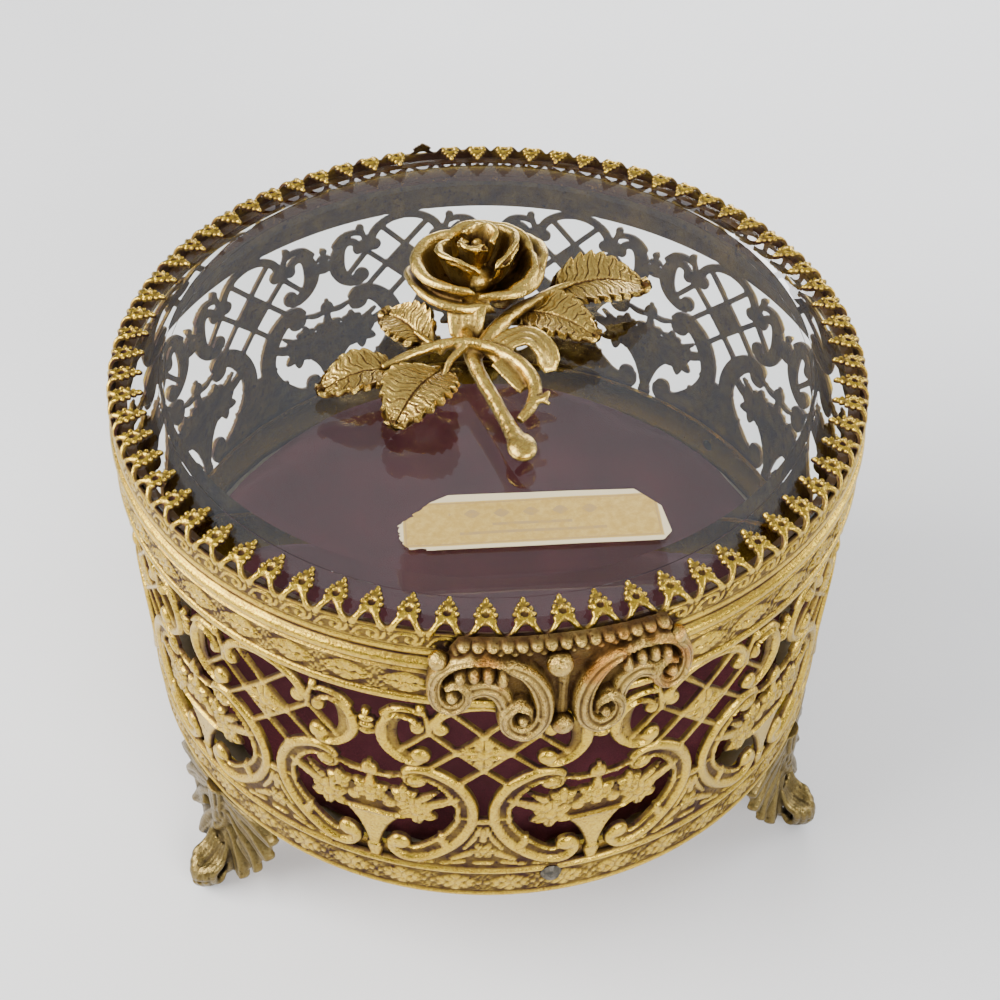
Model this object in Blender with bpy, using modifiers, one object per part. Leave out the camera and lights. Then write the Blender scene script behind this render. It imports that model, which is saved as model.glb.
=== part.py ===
"""Round filigree trinket box with a bevelled glass lid and a cast rose.

The box stands on z = 0 with its clasp towards -Y and its hinge at +Y.
Radii and heights are in millimetres and are scaled to metres on the way into Blender.
"""
import math

import bmesh
import bpy
from mathutils import Matrix, Vector

MM = 0.001
GAP = 0.3
FACETS = 44

# Driving heights of the whole box.
FLOOR_OF_BOX = 25.6
BORDER_TOP = 35.5
PAD_TOP = 36.4
BAND_BOTTOM = 75.2
SEAM = 85.0
STRIP_TOP = 90.1
TIP_HEIGHT = 91.5
GLASS_TOP = 92.2

# Driving radii.
WALL_RADIUS = 61.6
WALL_THICKNESS = 0.8
WALL_INNER = WALL_RADIUS - WALL_THICKNESS
BAND_INNER = WALL_RADIUS + GAP
STRIP_RADIUS = 62.0
STRIP_THICKNESS = 0.6
TIP_RADIUS = 56.15
CLASP_REACH = 67.6
FOOT_REACH = 68.2

REPEATS = 11
REPEAT_WIDTH = 2 * math.pi * WALL_RADIUS / REPEATS
PATTERN_START = math.radians(6.2)
PRONGS = 71

FOOT_ANGLES = {"left": -57.5, "right": 52.5, "back": 177.5}
WALL_RIVET_ANGLES = {"front": 0.0, "left": -120.0, "right": 120.0}
WALL_RIVET_HEIGHT = 31.6
FOOT_RIVET_RADIUS = 54.5

HINGE_AXIS_Y = 64.8
HINGE_AXIS_Z = SEAM + 0.15


def clear_scene():
    for obj in list(bpy.data.objects):
        bpy.data.objects.remove(obj, do_unlink=True)


def new_collection(name, hidden=False):
    collection = bpy.data.collections.new(name)
    bpy.context.scene.collection.children.link(collection)
    collection.hide_render = hidden
    return collection


def new_material(name, colour, roughness, metallic=0.0, transmission=0.0):
    material = bpy.data.materials.new(name)
    material.use_nodes = True
    shader = material.node_tree.nodes["Principled BSDF"]
    shader.inputs["Base Color"].default_value = (*colour, 1.0)
    shader.inputs["Roughness"].default_value = roughness
    shader.inputs["Metallic"].default_value = metallic
    shader.inputs["Transmission Weight"].default_value = transmission
    return material


clear_scene()
BOX = new_collection("vanity_trinket_box")
CUTTERS = new_collection("cutters", hidden=True)

GOLD = new_material("antique_gold", (0.62, 0.46, 0.20), 0.32, metallic=1.0)
CAST_GOLD = new_material("cast_gold", (0.55, 0.38, 0.14), 0.30, metallic=1.0)
GLASS = new_material("bevelled_glass", (0.93, 0.97, 0.95), 0.02, transmission=1.0)
VELVET = new_material("burgundy_velvet", (0.16, 0.01, 0.03), 0.95)
FELT = new_material("burgundy_felt", (0.13, 0.02, 0.05), 0.98)
CARD = new_material("grey_card", (0.42, 0.37, 0.30), 0.9)
PAPER = new_material("cream_label", (0.80, 0.68, 0.42), 0.6)
CEMENT = new_material("clear_cement", (0.85, 0.84, 0.78), 0.2, transmission=0.6)
STEEL = new_material("hinge_pin_steel", (0.45, 0.42, 0.38), 0.35, metallic=1.0)


# ---------------------------------------------------------------- building blocks
def around(radius, angle, height):
    """Point in millimetres at an angle measured from the front, turning towards +X."""
    return Vector((radius * math.sin(angle), -radius * math.cos(angle), height)) * MM


def add_object(name, mesh, material, collection=None):
    obj = bpy.data.objects.new(name, mesh)
    (collection or BOX).objects.link(obj)
    if material:
        mesh.materials.clear()
        mesh.materials.append(material)
    return obj


def applied_mesh(obj):
    bpy.context.view_layer.update()
    graph = bpy.context.evaluated_depsgraph_get()
    return bpy.data.meshes.new_from_object(obj.evaluated_get(graph))


def finish(obj):
    """Apply the modifiers, weld the result and turn its faces outwards."""
    baked = applied_mesh(obj)
    obj.modifiers.clear()
    bm = bmesh.new()
    bm.from_mesh(baked)
    bmesh.ops.remove_doubles(bm, verts=bm.verts, dist=2e-6)
    bmesh.ops.recalc_face_normals(bm, faces=bm.faces)
    bmesh.ops.triangulate(bm, faces=bm.faces)
    bm.to_mesh(baked)
    bm.free()
    obj.data = baked
    return obj


def object_from_bmesh(name, bm, material, collection=None):
    mesh = bpy.data.meshes.new(name)
    bm.to_mesh(mesh)
    bm.free()
    return add_object(name, mesh, material, collection)


def lathe(name, profile, material, steps=FACETS, collection=None):
    """Turn a (radius, height) profile about Z; it is a loop unless it touches the axis."""
    points = [(r * MM, 0.0, z * MM) for r, z in profile]
    count = len(points)
    touches_axis = profile[0][0] == 0.0
    edges = [(i, i + 1) for i in range(count - 1)]
    if not touches_axis:
        edges.append((count - 1, 0))
    mesh = bpy.data.meshes.new(name)
    mesh.from_pydata(points, edges, [])
    obj = add_object(name, mesh, material, collection)
    screw = obj.modifiers.new("Turn", "SCREW")
    screw.steps = steps
    screw.render_steps = steps
    screw.use_merge_vertices = True
    screw.merge_threshold = 1e-5
    return finish(obj)


def filled_sheet(loops):
    """Flat triangulated sheet in (u, v); the first loop is its outline, the others are holes."""
    bm = bmesh.new()
    edges = []
    for loop in loops:
        corners = [bm.verts.new((u, v, 0.0)) for u, v in loop]
        edges += [bm.edges.new((corners[i - 1], corners[i])) for i in range(len(corners))]
    bmesh.ops.triangle_fill(bm, use_beauty=True, edges=edges)
    return bm


def split_sheet(bm, positions, axis):
    """Cut a flat sheet along straight lines so that it can bend there."""
    normal = Vector((1, 0, 0)) if axis == 0 else Vector((0, 1, 0))
    for position in positions:
        geometry = bm.verts[:] + bm.edges[:] + bm.faces[:]
        bmesh.ops.bisect_plane(bm, geom=geometry, plane_co=normal * position, plane_no=normal)


def formed_sheet(name, bm, place, outward, thickness, material, collection=None):
    """Bend a flat sheet with place(u, v), then give it its thickness behind the outer face."""
    for vert in bm.verts:
        vert.co = place(vert.co.x, vert.co.y)
    bmesh.ops.remove_doubles(bm, verts=bm.verts, dist=2e-6)
    bmesh.ops.recalc_face_normals(bm, faces=bm.faces)
    facing = sum(f.normal.dot(outward(f.calc_center_median())) * f.calc_area() for f in bm.faces)
    if facing < 0:
        bmesh.ops.reverse_faces(bm, faces=bm.faces)
    obj = object_from_bmesh(name, bm, material, collection)
    solidify = obj.modifiers.new("Thickness", "SOLIDIFY")
    solidify.thickness = thickness * MM
    solidify.offset = -1.0
    solidify.use_even_offset = True
    return finish(obj)


def radial(point):
    return Vector((point.x, point.y, 0.0)).normalized()


def upward(_point):
    return Vector((0.0, 0.0, 1.0))


def tube(points, radius, sides=1, radii=None):
    """Round bar through points already in metres, as a closed mesh in the cutter collection."""
    curve = bpy.data.curves.new("bar", "CURVE")
    curve.dimensions = "3D"
    curve.bevel_depth = radius * MM
    curve.bevel_resolution = sides
    curve.use_fill_caps = True
    spline = curve.splines.new("POLY")
    spline.points.add(len(points) - 1)
    for index, point in enumerate(points):
        spline.points[index].co = (*point, 1.0)
        spline.points[index].radius = radii[index] if radii else 1.0
    drawn = add_object("bar_curve", curve, None, CUTTERS)
    solid = add_object("bar", applied_mesh(drawn), None, CUTTERS)
    bpy.data.objects.remove(drawn, do_unlink=True)
    return finish(solid)


def ball(centre, radius, detail=2):
    bm = bmesh.new()
    bmesh.ops.create_icosphere(bm, subdivisions=detail, radius=radius * MM)
    bmesh.ops.translate(bm, verts=bm.verts, vec=centre)
    return object_from_bmesh("ball", bm, None, CUTTERS)


def rod(start, end, radius, segments=12):
    """Solid cylinder between two points in metres."""
    axis = end - start
    bm = bmesh.new()
    turn = axis.to_track_quat("Z", "Y").to_matrix().to_4x4()
    place = Matrix.Translation((start + end) / 2) @ turn
    bmesh.ops.create_cone(bm, cap_ends=True, segments=segments, radius1=radius * MM,
                          radius2=radius * MM, depth=axis.length, matrix=place)
    return object_from_bmesh("rod", bm, None, CUTTERS)


def block(low, high):
    """Box between two corners in millimetres."""
    size = [(b - a) * MM for a, b in zip(low, high)]
    centre = Vector([(a + b) / 2 * MM for a, b in zip(low, high)])
    bm = bmesh.new()
    bmesh.ops.create_cube(bm, size=1.0)
    bmesh.ops.scale(bm, verts=bm.verts, vec=size)
    bmesh.ops.translate(bm, verts=bm.verts, vec=centre)
    return object_from_bmesh("block", bm, None, CUTTERS)


def combine(target, others, operation):
    """Union or difference of the target with each helper body, which is then removed."""
    for other in others:
        other.display_type = "WIRE"
        boolean = target.modifiers.new(operation.title(), "BOOLEAN")
        boolean.solver = "EXACT"
        boolean.operation = operation
        boolean.object = other
    finish(target)
    for other in others:
        bpy.data.objects.remove(other, do_unlink=True)
    return target


def named(obj, name, material):
    """Turn a helper body into a finished piece of the box."""
    obj.name = name
    for collection in list(obj.users_collection):
        collection.objects.unlink(obj)
    BOX.objects.link(obj)
    obj.data.materials.clear()
    obj.data.materials.append(material)
    return finish(obj)


# ---------------------------------------------------------------- pierced wall
def mirrored(loop):
    return [(-u, v) for u, v in reversed(loop)]


def diamond(u, v, half_width, half_height):
    return [(u - half_width, v), (u, v - half_height), (u + half_width, v), (u, v + half_height)]


def cartouche_holes():
    """Openings round the flower vase, inside one circular scroll."""
    beside_vase = [(-2.2, 39.6), (-4.6, 45.0), (-6.4, 48.4), (-7.9, 45.6), (-6.8, 41.4)]
    over_flowers = [(-4.4, 51.6), (0.0, 50.2), (4.4, 51.6), (2.2, 54.8), (-2.2, 54.8)]
    return [beside_vase, mirrored(beside_vase), over_flowers]


def scroll_holes():
    """Openings between the scrolls that carry the upper rail."""
    centre = [(-1.9, 60.4), (0.0, 57.6), (1.9, 60.4), (1.2, 66.8), (-1.2, 66.8)]
    beside = [(-7.4, 65.8), (-4.6, 61.0), (-3.2, 67.0), (-5.0, 71.2)]
    return [centre, beside, mirrored(beside)]


def trellis_holes():
    """Diamond openings round the quatrefoil, and the keyhole below them."""
    middle = REPEAT_WIDTH / 2
    step = 3.9
    holes = [diamond(middle + side * step, 61.5 + rise * step, 2.3, 2.7)
             for side, rise in ((-1, 1), (1, 1), (-1, -1), (1, -1))]
    holes.append([(middle - 2.0, 70.6), (middle, 68.4), (middle + 2.0, 70.6), (middle, 72.4)])
    holes.append([(middle - 1.3, 41.5), (middle + 1.3, 41.5), (middle + 1.7, 51.5),
                  (middle, 54.0), (middle - 1.7, 51.5)])
    return holes


def corner_holes():
    low = [(10.4, 38.6), (14.2, 38.6), (12.2, 42.4)]
    return [low, mirrored(low)]


def wall_sheet():
    """Whole flat strip, made of one repeat laid end to end."""
    start = 9.4
    end = start + REPEAT_WIDTH
    top = SEAM - WALL_THICKNESS - GAP
    outline = [(start, FLOOR_OF_BOX), (end, FLOOR_OF_BOX), (end, top), (start, top)]
    holes = cartouche_holes() + scroll_holes() + trellis_holes() + corner_holes()
    shifted = []
    for hole in holes:
        middle = sum(u for u, _ in hole) / len(hole)
        shift = REPEAT_WIDTH if middle < start else 0.0
        shifted.append([(u + shift, v) for u, v in hole])
    repeat = filled_sheet([outline] + shifted)
    cuts = FACETS // REPEATS
    split_sheet(repeat, [start + REPEAT_WIDTH * i / cuts for i in range(1, cuts)], 0)
    mesh = bpy.data.meshes.new("repeat")
    repeat.to_mesh(mesh)
    repeat.free()
    strip = bmesh.new()
    for index in range(REPEATS):
        before = len(strip.verts)
        strip.from_mesh(mesh)
        strip.verts.ensure_lookup_table()
        bmesh.ops.translate(strip, verts=strip.verts[before:], vec=(index * REPEAT_WIDTH, 0, 0))
    return strip


def on_wall(u, v):
    return around(WALL_RADIUS, PATTERN_START + u / WALL_RADIUS, v)


def wall_rivet_line(angle, outer, inner):
    turn = math.radians(angle)
    return around(outer, turn, WALL_RIVET_HEIGHT), around(inner, turn, WALL_RIVET_HEIGHT)


def build_wall():
    wall = formed_sheet("filigree_wall", wall_sheet(), on_wall, radial, WALL_THICKNESS, GOLD)
    holes = [rod(*wall_rivet_line(angle, 63.0, 57.0), 1.4, 8) for angle in WALL_RIVET_ANGLES.values()]
    combine(wall, holes, "DIFFERENCE")


# ---------------------------------------------------------------- body below the seam
def build_top_band():
    thin = 0.5
    lathe("top_border_band", [
        (WALL_INNER - 0.6, SEAM), (61.7, SEAM), (62.5, 84.0), (62.3, 83.0), (62.3, 78.4),
        (62.6, 76.8), (62.2, BAND_BOTTOM), (BAND_INNER, BAND_BOTTOM),
        (BAND_INNER, SEAM - thin), (WALL_INNER - 0.6, SEAM - thin)], GOLD)


def build_base():
    flange_outer = WALL_INNER - GAP
    flange_inner = flange_outer - 0.8
    pan_top = FLOOR_OF_BOX + 0.8
    pan = lathe("base_pan", [
        (0.0, pan_top), (flange_inner, pan_top), (flange_inner, BORDER_TOP),
        (flange_outer, BORDER_TOP), (flange_outer, FLOOR_OF_BOX), (0.0, FLOOR_OF_BOX)], GOLD)
    holes = [rod(*wall_rivet_line(angle, 63.0, 57.0), 1.4, 8) for angle in WALL_RIVET_ANGLES.values()]
    holes += [rod(around(FOOT_RIVET_RADIUS, math.radians(a), 20.0),
                  around(FOOT_RIVET_RADIUS, math.radians(a), 30.0), 1.4, 8) for a in FOOT_ANGLES.values()]
    combine(pan, holes, "DIFFERENCE")

    inner = flange_inner - 0.5
    board_low = pan_top + GAP
    board_top = board_low + 1.5
    lathe("floor_board", [(0.0, board_top), (inner, board_top), (inner, board_low), (0.0, board_low)], CARD)

    pad_low = board_top + GAP
    lathe("velvet_pad", [
        (0.0, PAD_TOP), (46.0, PAD_TOP), (55.0, PAD_TOP - 1.2), (inner, PAD_TOP - 4.0), (inner, pad_low + 0.6),
        (inner - 1.0, pad_low), (0.0, pad_low)], VELVET)

    felt_top = FLOOR_OF_BOX - GAP
    lathe("underside_felt", [(0.0, felt_top), (49.5, felt_top), (49.5, felt_top - 0.8),
                             (0.0, felt_top - 0.8)], FELT)


def foot_outline():
    """Acanthus leaf, widest under the wall and narrowing in lobes to the toe."""
    half = [(13.2, FLOOR_OF_BOX - 0.4), (14.2, 20.2), (10.8, 19.6), (11.8, 14.2), (7.8, 13.8), (8.6, 8.6),
            (4.6, 8.8), (3.8, 4.4), (2.2, 2.6)]
    return half + [(-u, v) for u, v in reversed(half)]


def foot_radius(height):
    """Outer face: flush under the wall, then sweeping out towards the toe."""
    drop = max(0.0, (FLOOR_OF_BOX - height) / FLOOR_OF_BOX)
    return WALL_RADIUS - 0.1 + 3.6 * drop ** 2.4


def build_foot(side, angle):
    turn = math.radians(angle)
    leaf = filled_sheet([foot_outline()])
    split_sheet(leaf, (-9.0, -4.5, 4.5, 9.0), 0)
    split_sheet(leaf, (6.0, 10.0, 14.0, 19.0), 1)
    foot = formed_sheet(f"foot_{side}", leaf,
                        lambda u, v: around(foot_radius(v), turn + u / WALL_RADIUS, v),
                        radial, 1.6, CAST_GOLD)
    tab_high = FLOOR_OF_BOX - GAP
    tab = block((-5.5, 50.2, tab_high - 1.2), (5.5, 60.2, tab_high))
    tab.data.transform(Matrix.Rotation(turn - math.pi, 4, "Z"))
    toe_radius = 2.9
    ground_off = 0.4
    centre = around(FOOT_REACH - toe_radius, turn, toe_radius - ground_off)
    sideways = Vector((math.cos(turn), math.sin(turn), 0.0)) * 4.2 * MM
    toe = rod(centre - sideways, centre + sideways, toe_radius, 12)
    combine(foot, [tab, toe], "UNION")
    hole = rod(around(FOOT_RIVET_RADIUS, turn, 20.0), around(FOOT_RIVET_RADIUS, turn, 30.0), 1.4, 8)
    below_ground = block((-80.0, -80.0, -10.0), (80.0, 80.0, 0.0))
    combine(foot, [hole, below_ground], "DIFFERENCE")

    head_top = tab_high - 1.2 - GAP
    rivet = lathe(f"foot_rivet_{side}", [
        (0.0, FLOOR_OF_BOX + 0.7), (1.1, FLOOR_OF_BOX + 0.7), (1.1, head_top), (2.3, head_top),
        (1.6, head_top - 0.8), (0.0, head_top - 1.0)], GOLD, steps=12)
    rivet.data.transform(Matrix.Translation(around(FOOT_RIVET_RADIUS, turn, 0.0)))


def build_wall_rivet(side, angle):
    rivet = lathe(f"wall_rivet_{side}", [
        (0.0, 0.9), (1.2, 0.7), (1.75, 0.0), (1.1, 0.0), (1.1, -2.2), (0.0, -2.2)], CAST_GOLD, steps=14)
    turn = math.radians(angle)
    rivet.data.transform(Matrix.Rotation(math.pi / 2, 4, "X"))
    rivet.data.transform(Matrix.Rotation(turn, 4, "Z"))
    rivet.data.transform(Matrix.Translation(around(WALL_RADIUS + GAP, turn, WALL_RIVET_HEIGHT)))


# ---------------------------------------------------------------- hinge
def knuckle(start, end):
    return rod(Vector((start, HINGE_AXIS_Y, HINGE_AXIS_Z)) * MM,
               Vector((end, HINGE_AXIS_Y, HINGE_AXIS_Z)) * MM, 1.7, 16)


def bore_for_pin(piece):
    bore = rod(Vector((-12.0, HINGE_AXIS_Y, HINGE_AXIS_Z)) * MM,
               Vector((12.0, HINGE_AXIS_Y, HINGE_AXIS_Z)) * MM, 1.0, 16)
    return combine(piece, [bore], "DIFFERENCE")


def set_origin(obj, point):
    obj.data.transform(Matrix.Translation(-point))
    obj.location = point


def build_hinge():
    body_leaf = block((-7.0, 62.95, 76.5), (7.0, 63.65, 83.0))
    joining = [knuckle(-7.0, -2.6), knuckle(2.6, 7.0)]
    joining += [block((-7.0, 63.1, 82.4), (-2.6, 64.4, 84.6)), block((2.6, 63.1, 82.4), (7.0, 64.4, 84.6))]
    bore_for_pin(combine(named(body_leaf, "hinge_leaf_body", GOLD), joining, "UNION"))

    lid_leaf = block((-7.0, 62.35, 87.2), (7.0, 62.95, 89.6))
    tongue = block((-2.3, 62.45, 85.3), (2.3, 64.2, 88.0))
    lid_leaf = combine(named(lid_leaf, "hinge_leaf_lid", GOLD), [knuckle(-2.3, 2.3), tongue], "UNION")
    set_origin(bore_for_pin(lid_leaf), Vector((0.0, HINGE_AXIS_Y, HINGE_AXIS_Z)) * MM)

    pin = rod(Vector((-7.6, HINGE_AXIS_Y, HINGE_AXIS_Z)) * MM,
              Vector((7.6, HINGE_AXIS_Y, HINGE_AXIS_Z)) * MM, 0.7, 12)
    named(pin, "hinge_pin", STEEL)


# ---------------------------------------------------------------- lid frame and glass
def prong_outline(centre, pitch):
    """Half notch, splayed leg, waist and leaf-shaped head, then the same mirrored."""
    half = [(pitch * 0.5, 0.0), (1.15, 1.6), (1.45, 3.8), (1.0, 5.2)]
    left = [(centre - u, v) for u, v in half]
    right = [(centre + u, v) for u, v in reversed(half)]
    return left + [(centre, 6.9)] + right


def strip_path(length):
    """Radius and height along the strip: straight up the band, then bent in over the glass."""
    stations = [(-5.0, STRIP_RADIUS, STRIP_TOP - 4.8), (0.0, STRIP_RADIUS, STRIP_TOP),
                (1.0, 61.7, STRIP_TOP + 0.95), (2.1, 60.8, TIP_HEIGHT + 0.2),
                (4.6, 58.35, TIP_HEIGHT + 0.35), (6.9, TIP_RADIUS, TIP_HEIGHT + 0.2)]
    for (s0, r0, z0), (s1, r1, z1) in zip(stations, stations[1:]):
        if length <= s1:
            part = (length - s0) / (s1 - s0)
            return r0 + (r1 - r0) * part, z0 + (z1 - z0) * part
    return stations[-1][1:]


def on_strip(u, v):
    radius, height = strip_path(v)
    return around(radius, math.pi * 2 * u / (2 * math.pi * STRIP_RADIUS), height)


def strip_outward(point):
    inward = max(0.0, (STRIP_RADIUS - math.hypot(point.x, point.y) / MM) / 4.0)
    return (radial(point) + Vector((0, 0, 1)) * min(inward * 3.0, 3.0)).normalized()


def build_gallery():
    pitch = 2 * math.pi * STRIP_RADIUS / PRONGS
    strip = bmesh.new()
    for index in range(PRONGS):
        centre = index * pitch
        top = prong_outline(centre, pitch)
        low = [(centre + pitch / 2, -5.0), (centre - pitch / 2, -5.0)]
        prong = filled_sheet([top + low])
        mesh = bpy.data.meshes.new("prong")
        prong.to_mesh(mesh)
        prong.free()
        strip.from_mesh(mesh)
        bpy.data.meshes.remove(mesh)
    gallery = formed_sheet("prong_gallery", strip, on_strip, strip_outward, STRIP_THICKNESS, GOLD)
    return gallery


def build_seat_and_glass():
    seat_outer = STRIP_RADIUS - STRIP_THICKNESS - GAP
    seat_low = SEAM + GAP
    seat_top = seat_low + 1.4
    spigot_outer = WALL_INNER - 1.5
    lathe("glass_seat_ring", [
        (spigot_outer - 1.0, seat_top), (seat_outer, seat_top), (seat_outer, seat_low),
        (spigot_outer, seat_low), (spigot_outer, SEAM - 2.5), (spigot_outer - 1.0, SEAM - 2.5)], GOLD)

    rim = seat_outer - 0.3
    glass_low = seat_top + GAP
    bevel_start = 53.0
    edge_top = GLASS_TOP - (rim - bevel_start) * 0.385
    lathe("bevelled_glass", [(0.0, GLASS_TOP), (bevel_start, GLASS_TOP), (rim, edge_top),
                             (rim, glass_low), (0.0, glass_low)], GLASS)


# ---------------------------------------------------------------- clasp ornament
def on_clasp(u, v, radius=64.3):
    return around(radius, u / 63.0, v)


def clasp_outline():
    half = [(0.0, 73.4), (2.4, 74.4), (3.4, 77.0), (6.6, 75.6), (9.2, 77.4), (9.4, 80.4),
            (12.0, 80.2), (15.4, 81.8), (16.2, 85.2), (14.6, 88.2), (7.0, 89.0)]
    return half + [(-u, v) for u, v in reversed(half[1:])]


def scroll_points(side, centre, start, end, first, last, count=10):
    """Spiral from the first to the last radius about a point on the clasp."""
    points = []
    for index in range(count):
        part = index / (count - 1)
        angle = math.radians(start + (end - start) * part)
        radius = first + (last - first) * part
        u = side * (centre[0] + radius * math.cos(angle))
        points.append(on_clasp(u, centre[1] + radius * math.sin(angle)))
    return points


def build_clasp():
    sheet = filled_sheet([clasp_outline()])
    split_sheet(sheet, (-12.0, -8.0, -4.0, 0.0, 4.0, 8.0, 12.0), 0)
    clasp = formed_sheet("clasp_ornament", sheet, lambda u, v: around(64.0, u / 63.0, v),
                         radial, 1.0, CAST_GOLD)
    bar = [on_clasp(u, 87.4) for u in range(-15, 16, 3)]
    parts = [tube(bar, 1.2)]
    for side in (-1, 1):
        parts.append(tube(scroll_points(side, (5.6, 79.4), 150, 400, 3.6, 1.6), 1.15))
        parts.append(tube(scroll_points(side, (11.6, 83.6), 330, 120, 3.4, 1.8), 1.1))
        parts.append(ball(on_clasp(side * 15.6, 87.4, 64.6), 1.6))
    stem = [on_clasp(0.0, 76.0, 64.4), on_clasp(0.0, 84.0, 64.6)]
    parts.append(tube(stem, 1.7, radii=[0.6, 1.0]))
    parts.append(ball(on_clasp(0.0, 86.4, CLASP_REACH - 2.45), 2.4))
    parts.append(ball(on_clasp(0.0, 74.9, 64.6), 1.7))
    solder = filled_sheet([[(-9.0, 86.4), (9.0, 86.4), (9.0, 88.9), (-9.0, 88.9)]])
    split_sheet(solder, (-6.0, -3.0, 0.0, 3.0, 6.0), 0)
    parts.append(formed_sheet("solder", solder, lambda u, v: around(63.3, u / 63.0, v),
                              radial, 0.95, None, CUTTERS))
    combine(clasp, parts, "UNION")


# ---------------------------------------------------------------- cast rose and label
ORNAMENT_LOW = GLASS_TOP + GAP


def build_bloom():
    """Three tiers of lobed petal crests round a closed bud, as one casting."""
    centre = Vector((0.0, 10.2, 0.0))
    tiers = [(0, 3.0, 0.9, 0.0, 0.0), (0, 3.6, 4.0, 0.0, 0.0), (5, 9.2, 5.3, 0.5, 0.2),
             (5, 12.4, 7.2, 1.3, 0.7), (5, 12.0, 8.0, 1.2, 0.7), (5, 8.8, 6.6, 0.6, 0.3),
             (4, 9.6, 11.0, 0.9, 0.7), (4, 9.0, 11.8, 0.8, 0.7), (4, 6.4, 10.0, 0.3, 0.2),
             (3, 5.6, 13.4, 0.6, 0.6), (3, 4.8, 14.0, 0.6, 0.6), (3, 2.6, 12.0, 0.1, 0.1)]
    segments = 30
    bm = bmesh.new()
    rings = []
    for level, (lobes, radius, height, swell, lift) in enumerate(tiers):
        ring = []
        for index in range(segments):
            angle = 2 * math.pi * index / segments
            wave = math.cos(lobes * angle + level * 0.7)
            reach = radius + swell * wave
            point = Vector((reach * math.cos(angle), reach * math.sin(angle),
                            ORNAMENT_LOW + height + lift * wave))
            ring.append(bm.verts.new((point + centre) * MM))
        rings.append(ring)
    for lower, upper in zip(rings, rings[1:]):
        for index in range(segments):
            after = (index + 1) % segments
            bm.faces.new((lower[index], lower[after], upper[after], upper[index]))
    bm.faces.new(rings[0])
    bm.faces.new(rings[-1])
    bloom = object_from_bmesh("rose_bloom", bm, CAST_GOLD)
    finish(bloom)


def leaf_outline(length, width, teeth=5):
    """Pointed leaf with a toothed edge, base at the origin and tip along +U."""
    edge = []
    for index in range(2 * teeth):
        part = (index + 1) / (2 * teeth + 1)
        reach = width / 2 * math.sin(math.pi * part ** 0.8)
        tooth = 0.94 if index % 2 else 1.06
        edge.append((length * part, reach * tooth))
    return [(0.0, -0.3), *[(u, -v) for u, v in edge], (length, 0.0), *reversed(edge), (0.0, 0.3)]


def leaf(base, tip, low, width, arch):
    """Leaf plate from base to tip, arched up along its length and cupped across it."""
    start = Vector(base)
    along = Vector(tip) - start
    length = along.length
    along.normalize()
    across = Vector((-along.y, along.x))

    def place(u, v):
        flat = start + along * u + across * v
        rise = arch * math.sin(math.pi * min(max(u / length, 0.0), 1.0)) + 0.25 * abs(v)
        return Vector((flat.x, flat.y, ORNAMENT_LOW + low + rise)) * MM

    sheet = filled_sheet([leaf_outline(length, width)])
    split_sheet(sheet, (0.0,), 1)
    split_sheet(sheet, (length * 0.35, length * 0.7), 0)
    return formed_sheet("leaf", sheet, place, upward, 1.1, None, CUTTERS)


def stem(points, radius, radii=None):
    return tube([Vector((x, y, ORNAMENT_LOW + z)) * MM for x, y, z in points], radius, radii=radii)


def build_spray():
    """Stem, branches, tendril and leaves of the rose, joined as one casting."""
    main = stem([(-3.0, 1.0, 2.6), (-4.0, -8.0, 2.6), (-2.2, -18.0, 2.2), (-0.4, -27.0, 1.6),
                 (0.2, -31.0, 1.5)], 1.5, radii=[0.9, 1.0, 1.0, 1.0, 1.25])
    parts = [
        stem([(-4.4, -9.6, 3.0), (2.0, -2.0, 3.4), (9.0, 4.2, 3.4), (16.0, 8.0, 3.2)], 1.2),
        stem([(-17.0, -8.2, 2.6), (-9.0, -7.4, 3.6), (-1.0, -9.8, 4.4), (5.0, -14.0, 3.8),
              (5.6, -20.0, 3.0), (0.4, -25.2, 2.4)], 1.1),
        stem([(-4.2, -8.6, 3.0), (3.0, -7.4, 3.6), (8.4, -9.0, 3.6), (9.6, -13.0, 2.6)], 1.1),
        stem([(-9.6, -7.6, 3.2), (-12.0, -2.0, 3.0), (-13.5, 2.4, 3.0)], 0.9),
        leaf((13.0, 7.2), (28.0, 7.6), 2.6, 10.5, 1.6),
        leaf((7.8, 3.2), (19.0, -4.4), 2.4, 8.5, 1.2),
        leaf((-15.6, -7.8), (-28.6, -10.6), 1.8, 8.0, 1.4),
        leaf((-8.6, -9.2), (-18.0, -22.0), 1.6, 12.0, 1.4),
        leaf((-11.4, -3.4), (-15.6, 5.6), 2.4, 7.0, 1.0),
    ]
    spray = combine(named(main, "rose_spray", CAST_GOLD), parts, "UNION")
    return spray


def build_cement():
    """Thin clear pads that bond the casting to the glass."""
    low = GLASS_TOP + 0.05
    for name, centre, radius, top in (("cement_under_rose", (0.0, 10.2), 2.6, 0.9),
                                      ("cement_under_leaf", (-12.6, -14.6), 2.2, 1.3)):
        pad = lathe(name, [(0.0, low + top), (radius * 0.8, low + top), (radius, low), (0.0, low)],
                    CEMENT, steps=16)
        pad.data.transform(Matrix.Translation(Vector((*centre, 0.0)) * MM))


def build_label():
    """Printed slip with clipped corners and one torn end."""
    outline = [(-20.6, -44.0), (-19.2, -46.0), (17.0, -49.6), (18.4, -48.0), (18.2, -42.8),
               (15.0, -38.6), (-12.2, -35.6), (-15.0, -36.8), (-16.8, -38.0), (-20.6, -40.6)]
    slip = filled_sheet([outline])
    formed_sheet("paper_label", slip, lambda u, v: Vector((u, v, GLASS_TOP + 0.45)) * MM,
                 upward, 0.15, PAPER)


# ---------------------------------------------------------------- assembly
LID_PIECES = ("prong_gallery", "glass_seat_ring", "bevelled_glass", "clasp_ornament", "rose_bloom",
              "rose_spray", "cement_under_rose", "cement_under_leaf", "paper_label", "hinge_leaf_lid")


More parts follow.
